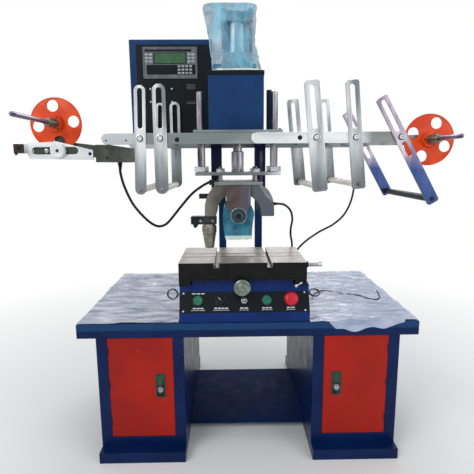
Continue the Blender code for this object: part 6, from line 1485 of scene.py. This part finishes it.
def dressGuides():
    mid = beamLook["mid"]
    for label, facts in guideLooks.items():
        slot, rollerSlot = "guide_frame_" + label, "guide_roller_" + label
        dressNodes(**{slot: (facts["plate"], 0.0010)})
        angle = math.radians(facts["tilt"])
        front, reach = facts["front"], 0.0169 - facts["below"]
        pivot = (facts["x"], front, mid)
        x = facts["x"] - reach * math.sin(angle)
        z = mid + reach * math.cos(angle)
        makePiece("pivotWasher_" + label, "barPolished", slot, (addCollar, 0.0060, 0.0150, -0.0006, 0.0016,
            pivot, toFront, 48), bevel=0.0005)
        makePiece("pivotRing_" + label, "plasticBlack", slot, (addCollar, 0.0060, 0.0116, 0.0016, 0.0030,
            pivot, toFront, 48), bevel=0.0004)
        repeatPiece("pivotScrew_" + label, "barPolished", slot, [(facts["x"], front - 0.0014, mid)],
            toFront, (addSocketScrew, 0.0088, 0.0076, 0.0046))
        makePiece("barCap_" + label, facts["bolt"], slot, (addLathe,
            ((0.0, 0.0085), (0.0026, 0.0085), (0.0034, 0.0077), (0.0034, 0.0048), (0.0048, 0.0046),
            (0.0056, 0.0032)), (x, front, z), toFront, 32))
        repeatPiece("pivotNut_" + label, "chrome", slot, [(facts["x"], 0.1456, mid), (x, 0.1456, z)],
            toRear, (addHexNut, 0.0105, 0.0058, 0.0055, 0.0030), size=0.96)
        start = front + 0.0085
        long = 0.1373 - 0.0005 - start
        profile = [(0.0, 0.0070), (0.0, 0.0122), (0.0008, 0.0129), (0.012, 0.0129), (0.0124, 0.0120),
            (0.0150, 0.0120), (0.0154, 0.0129)]
        profile += [(long - along, radius) for along, radius in reversed(profile)]
        makePiece("rollerTube_" + label, facts["roller"], rollerSlot,
            (addLathe, profile, (x, start, z), toRear, 40), replaces=True)
        makePiece("rollerBands_" + label, "plasticBlack", rollerSlot,
            *[(addCollar, 0.0110, 0.01300, low, high, (x, start, z), toRear, 40)
            for low, high in ((0.0008, 0.0122), (long - 0.0122, long - 0.0008))])


armLook = dict(z=1.192, knobX=-0.683, knobY=-0.3136, sensorLow=(-0.8404, -0.3276, 1.1832),
    sensorHigh=(-0.8000, -0.3052, 1.2178), slotBolt=(-0.7305, -0.3049), blockScrews=(-0.5130, -0.3052))


def lobes(share, along):
    deep = 1.0 if 0.004 < along < 0.0185 else 0.4
    return 1.0 - 0.045 * (0.5 + 0.5 * math.cos(2 * math.pi * share * 10)) * deep


def dressArms():
    dressNodes(arm_bracket_left=("bracketOlive", 0.0018), arm_bracket_right=("castGrey", 0.0018),
        slide_arm=("barPolished", 0.0010))
    makePiece("sensorCase", "sensorBrown", "slide_arm", (addBox, armLook["sensorLow"],
        armLook["sensorHigh"]), bevel=0.0020)
    clip = ((-0.8390, 1.1900), (-0.8260, 1.1900), (-0.8290, 1.1790), (-0.8350, 1.1765))
    makePiece("sensorClip", "plasticBlack", "slide_arm", (addPrism, clip, "Y", -0.3284, -0.3210),
        bevel=0.0006)
    makePiece("sensorLens", "plasticBlack", "slide_arm", (addLathe,
        ((0.0, 0.0070), (0.0022, 0.0070), (0.0028, 0.0058), (0.0026, 0.0030)), (-0.822, -0.3276, 1.2030),
        toFront, 32))
    # a flat black disc for the arm's hole: painted shade
    makePiece("armHole", "plasticBlack", "slide_arm", (addLathe, ((0.0, 0.0062), (0.0005, 0.0060)),
        (-0.5725, -0.3132, 1.1805), toFront, 32))
    # the bolt of the front beam's end, seen in the slot
    repeatPiece("slotBolt", "chrome", "arm_bracket_left", [(*armLook["slotBolt"], armLook["z"])], toFront,
        (addSocketScrew, 0.0078, 0.0042, 0.0038))
    knob = (armLook["knobX"], armLook["knobY"], armLook["z"])
    makePiece("thumbKnob", "knobWhite", "arm_knob", (addLathe, ((0.0, 0.0090), (0.0, 0.0240),
        (0.0015, 0.0266), (0.0050, 0.0274), (0.0150, 0.0274), (0.0180, 0.0266), (0.0198, 0.0238),
        (0.0194, 0.0150), (0.0180, 0.0134), (0.0180, 0.0060)), knob, toFront, 100, lobes), replaces=True)
    makePiece("knobInsert", "darkSteel", "arm_knob", (addLathe, ((-0.001, 0.0058), (0.0012, 0.0058),
        (0.0018, 0.0048)), (armLook["knobX"], armLook["knobY"] - 0.018, armLook["z"]), toFront, 24),
        (addLathe, ((0.0, 0.0058), (0.020, 0.0058)), knob, toRear, 24))
    repeatPiece("blockScrews", "darkSteel", "arm_bracket_left", [(*armLook["blockScrews"], z)
        for z in (1.203, 1.166)], toFront, (addSocketScrew, 0.0050, 0.0020, 0.0027))


reelLooks = {
    "left": dict(x=-0.853, z=1.3250, rear=0.1146, turn=7.0, tipY=-0.300),
    "right": dict(x=0.853, z=1.2440, rear=0.1023, turn=68.0, tipY=-0.195),
}
discLook = dict(reach=0.1168, thick=0.006, pitch=0.080, hole=0.026, boss=0.038, bossThick=0.022,
    chuck=0.022, chuckLong=0.080, spindle=0.0099, screws=0.029, tail=0.0219)


def makeReels():
    for label, facts in reelLooks.items():
        makeReel(label, facts)


def makeReel(label, facts):
    x, z, rear = facts["x"], facts["z"], facts["rear"]
    reach, thick, pitch, hole, boss, deep, wide, chuckLong, thin, screws, back = discLook.values()
    slot = "reel_" + label
    disc = build((addLathe, ((0.0, reach - 0.0035), (0.0010, reach - 0.0008), (0.0030, reach),
        (0.0050, reach - 0.0008), (thick, reach - 0.0035)), (x, rear - thick, z), toRear, 128))
    angles = [math.radians(facts["turn"] + 90 * k) for k in range(4)]
    centres = [(x + pitch * math.cos(angle), z + pitch * math.sin(angle)) for angle in angles]
    holes = build(*[(addLathe, ((0.0, hole), (0.020, hole)), (a, rear - 0.013, b), toRear, 64)
        for a, b in centres])
    plate = joinSolids(looseSolid("reelDisc_" + label, disc), [looseSolid("reelHoles", holes)],
        "DIFFERENCE")
    finishPiece(plate, "reelOrange", slot, 0.0007, True)
    front = rear - thick - 0.0001
    foot = (x, front, z)
    rims = [(addCollar, hole + 0.0002, hole + 0.0020, 0.0, 0.0012, (a, front, b), toFront, 48)
        for a, b in centres]
    makePiece("reelRims_" + label, "reelOrange", slot, *rims, (addCollar, reach - 0.0050, reach - 0.0008,
        0.0, 0.0010, foot, toFront, 128), bevel=0.0004)
    makePiece("reelBoss_" + label, "reelOrange", slot, (addLathe,
        ((0.0, boss), (0.0040, boss - 0.0004), (deep - 0.0020, boss * 0.915), (deep, boss * 0.87),
        (deep, 0.0200)), foot, toFront, 72), bevel=0.0006)
    long = deep + chuckLong
    makePiece("reelChuck_" + label, "chuckSteel", slot, (addLathe,
        ((deep - 0.001, wide), (deep + 0.010, wide), (deep + 0.0105, wide * 0.96),
        (deep + 0.0125, wide * 0.96), (deep + 0.0130, wide), (long - 0.030, wide * 0.86),
        (long - 0.0295, wide * 0.82), (long - 0.0270, wide * 0.82), (long - 0.0265, wide * 0.86),
        (long - 0.0020, wide * 0.80), (long - 0.0004, wide * 0.72)), foot, toFront, 48))
    tip = front - facts["tipY"]
    makePiece("reelSpindle_" + label, "spindleSteel", slot, (addLathe,
        ((-0.010, thin), (tip - 0.0260, thin), (tip - 0.0258, thin - 0.0012), (tip - 0.0235, thin - 0.0012),
        (tip - 0.0233, thin), (tip - 0.0080, thin * 0.9), (tip - 0.0001, thin * 0.45)), foot, toFront, 48))
    makePiece("reelTail_" + label, "darkSteel", slot, (addLathe, ((0.0, 0.0098), (back, 0.0098),
        (back, 0.0130), (back + 0.0010, 0.0130)), (x, rear - 0.001, z), toRear, 32))
    spots = [(x + screws * math.cos(math.radians(a)), front - deep + 0.0002,
        z + screws * math.sin(math.radians(a))) for a in (62, 182, 302)]
    repeatPiece("reelScrews_" + label, "darkSteel", slot, spots, toFront, (addPanHead, 0.0036, 0.0016))


dressBeams()
dressGuides()
dressArms()
makeReels()
print("film path made")
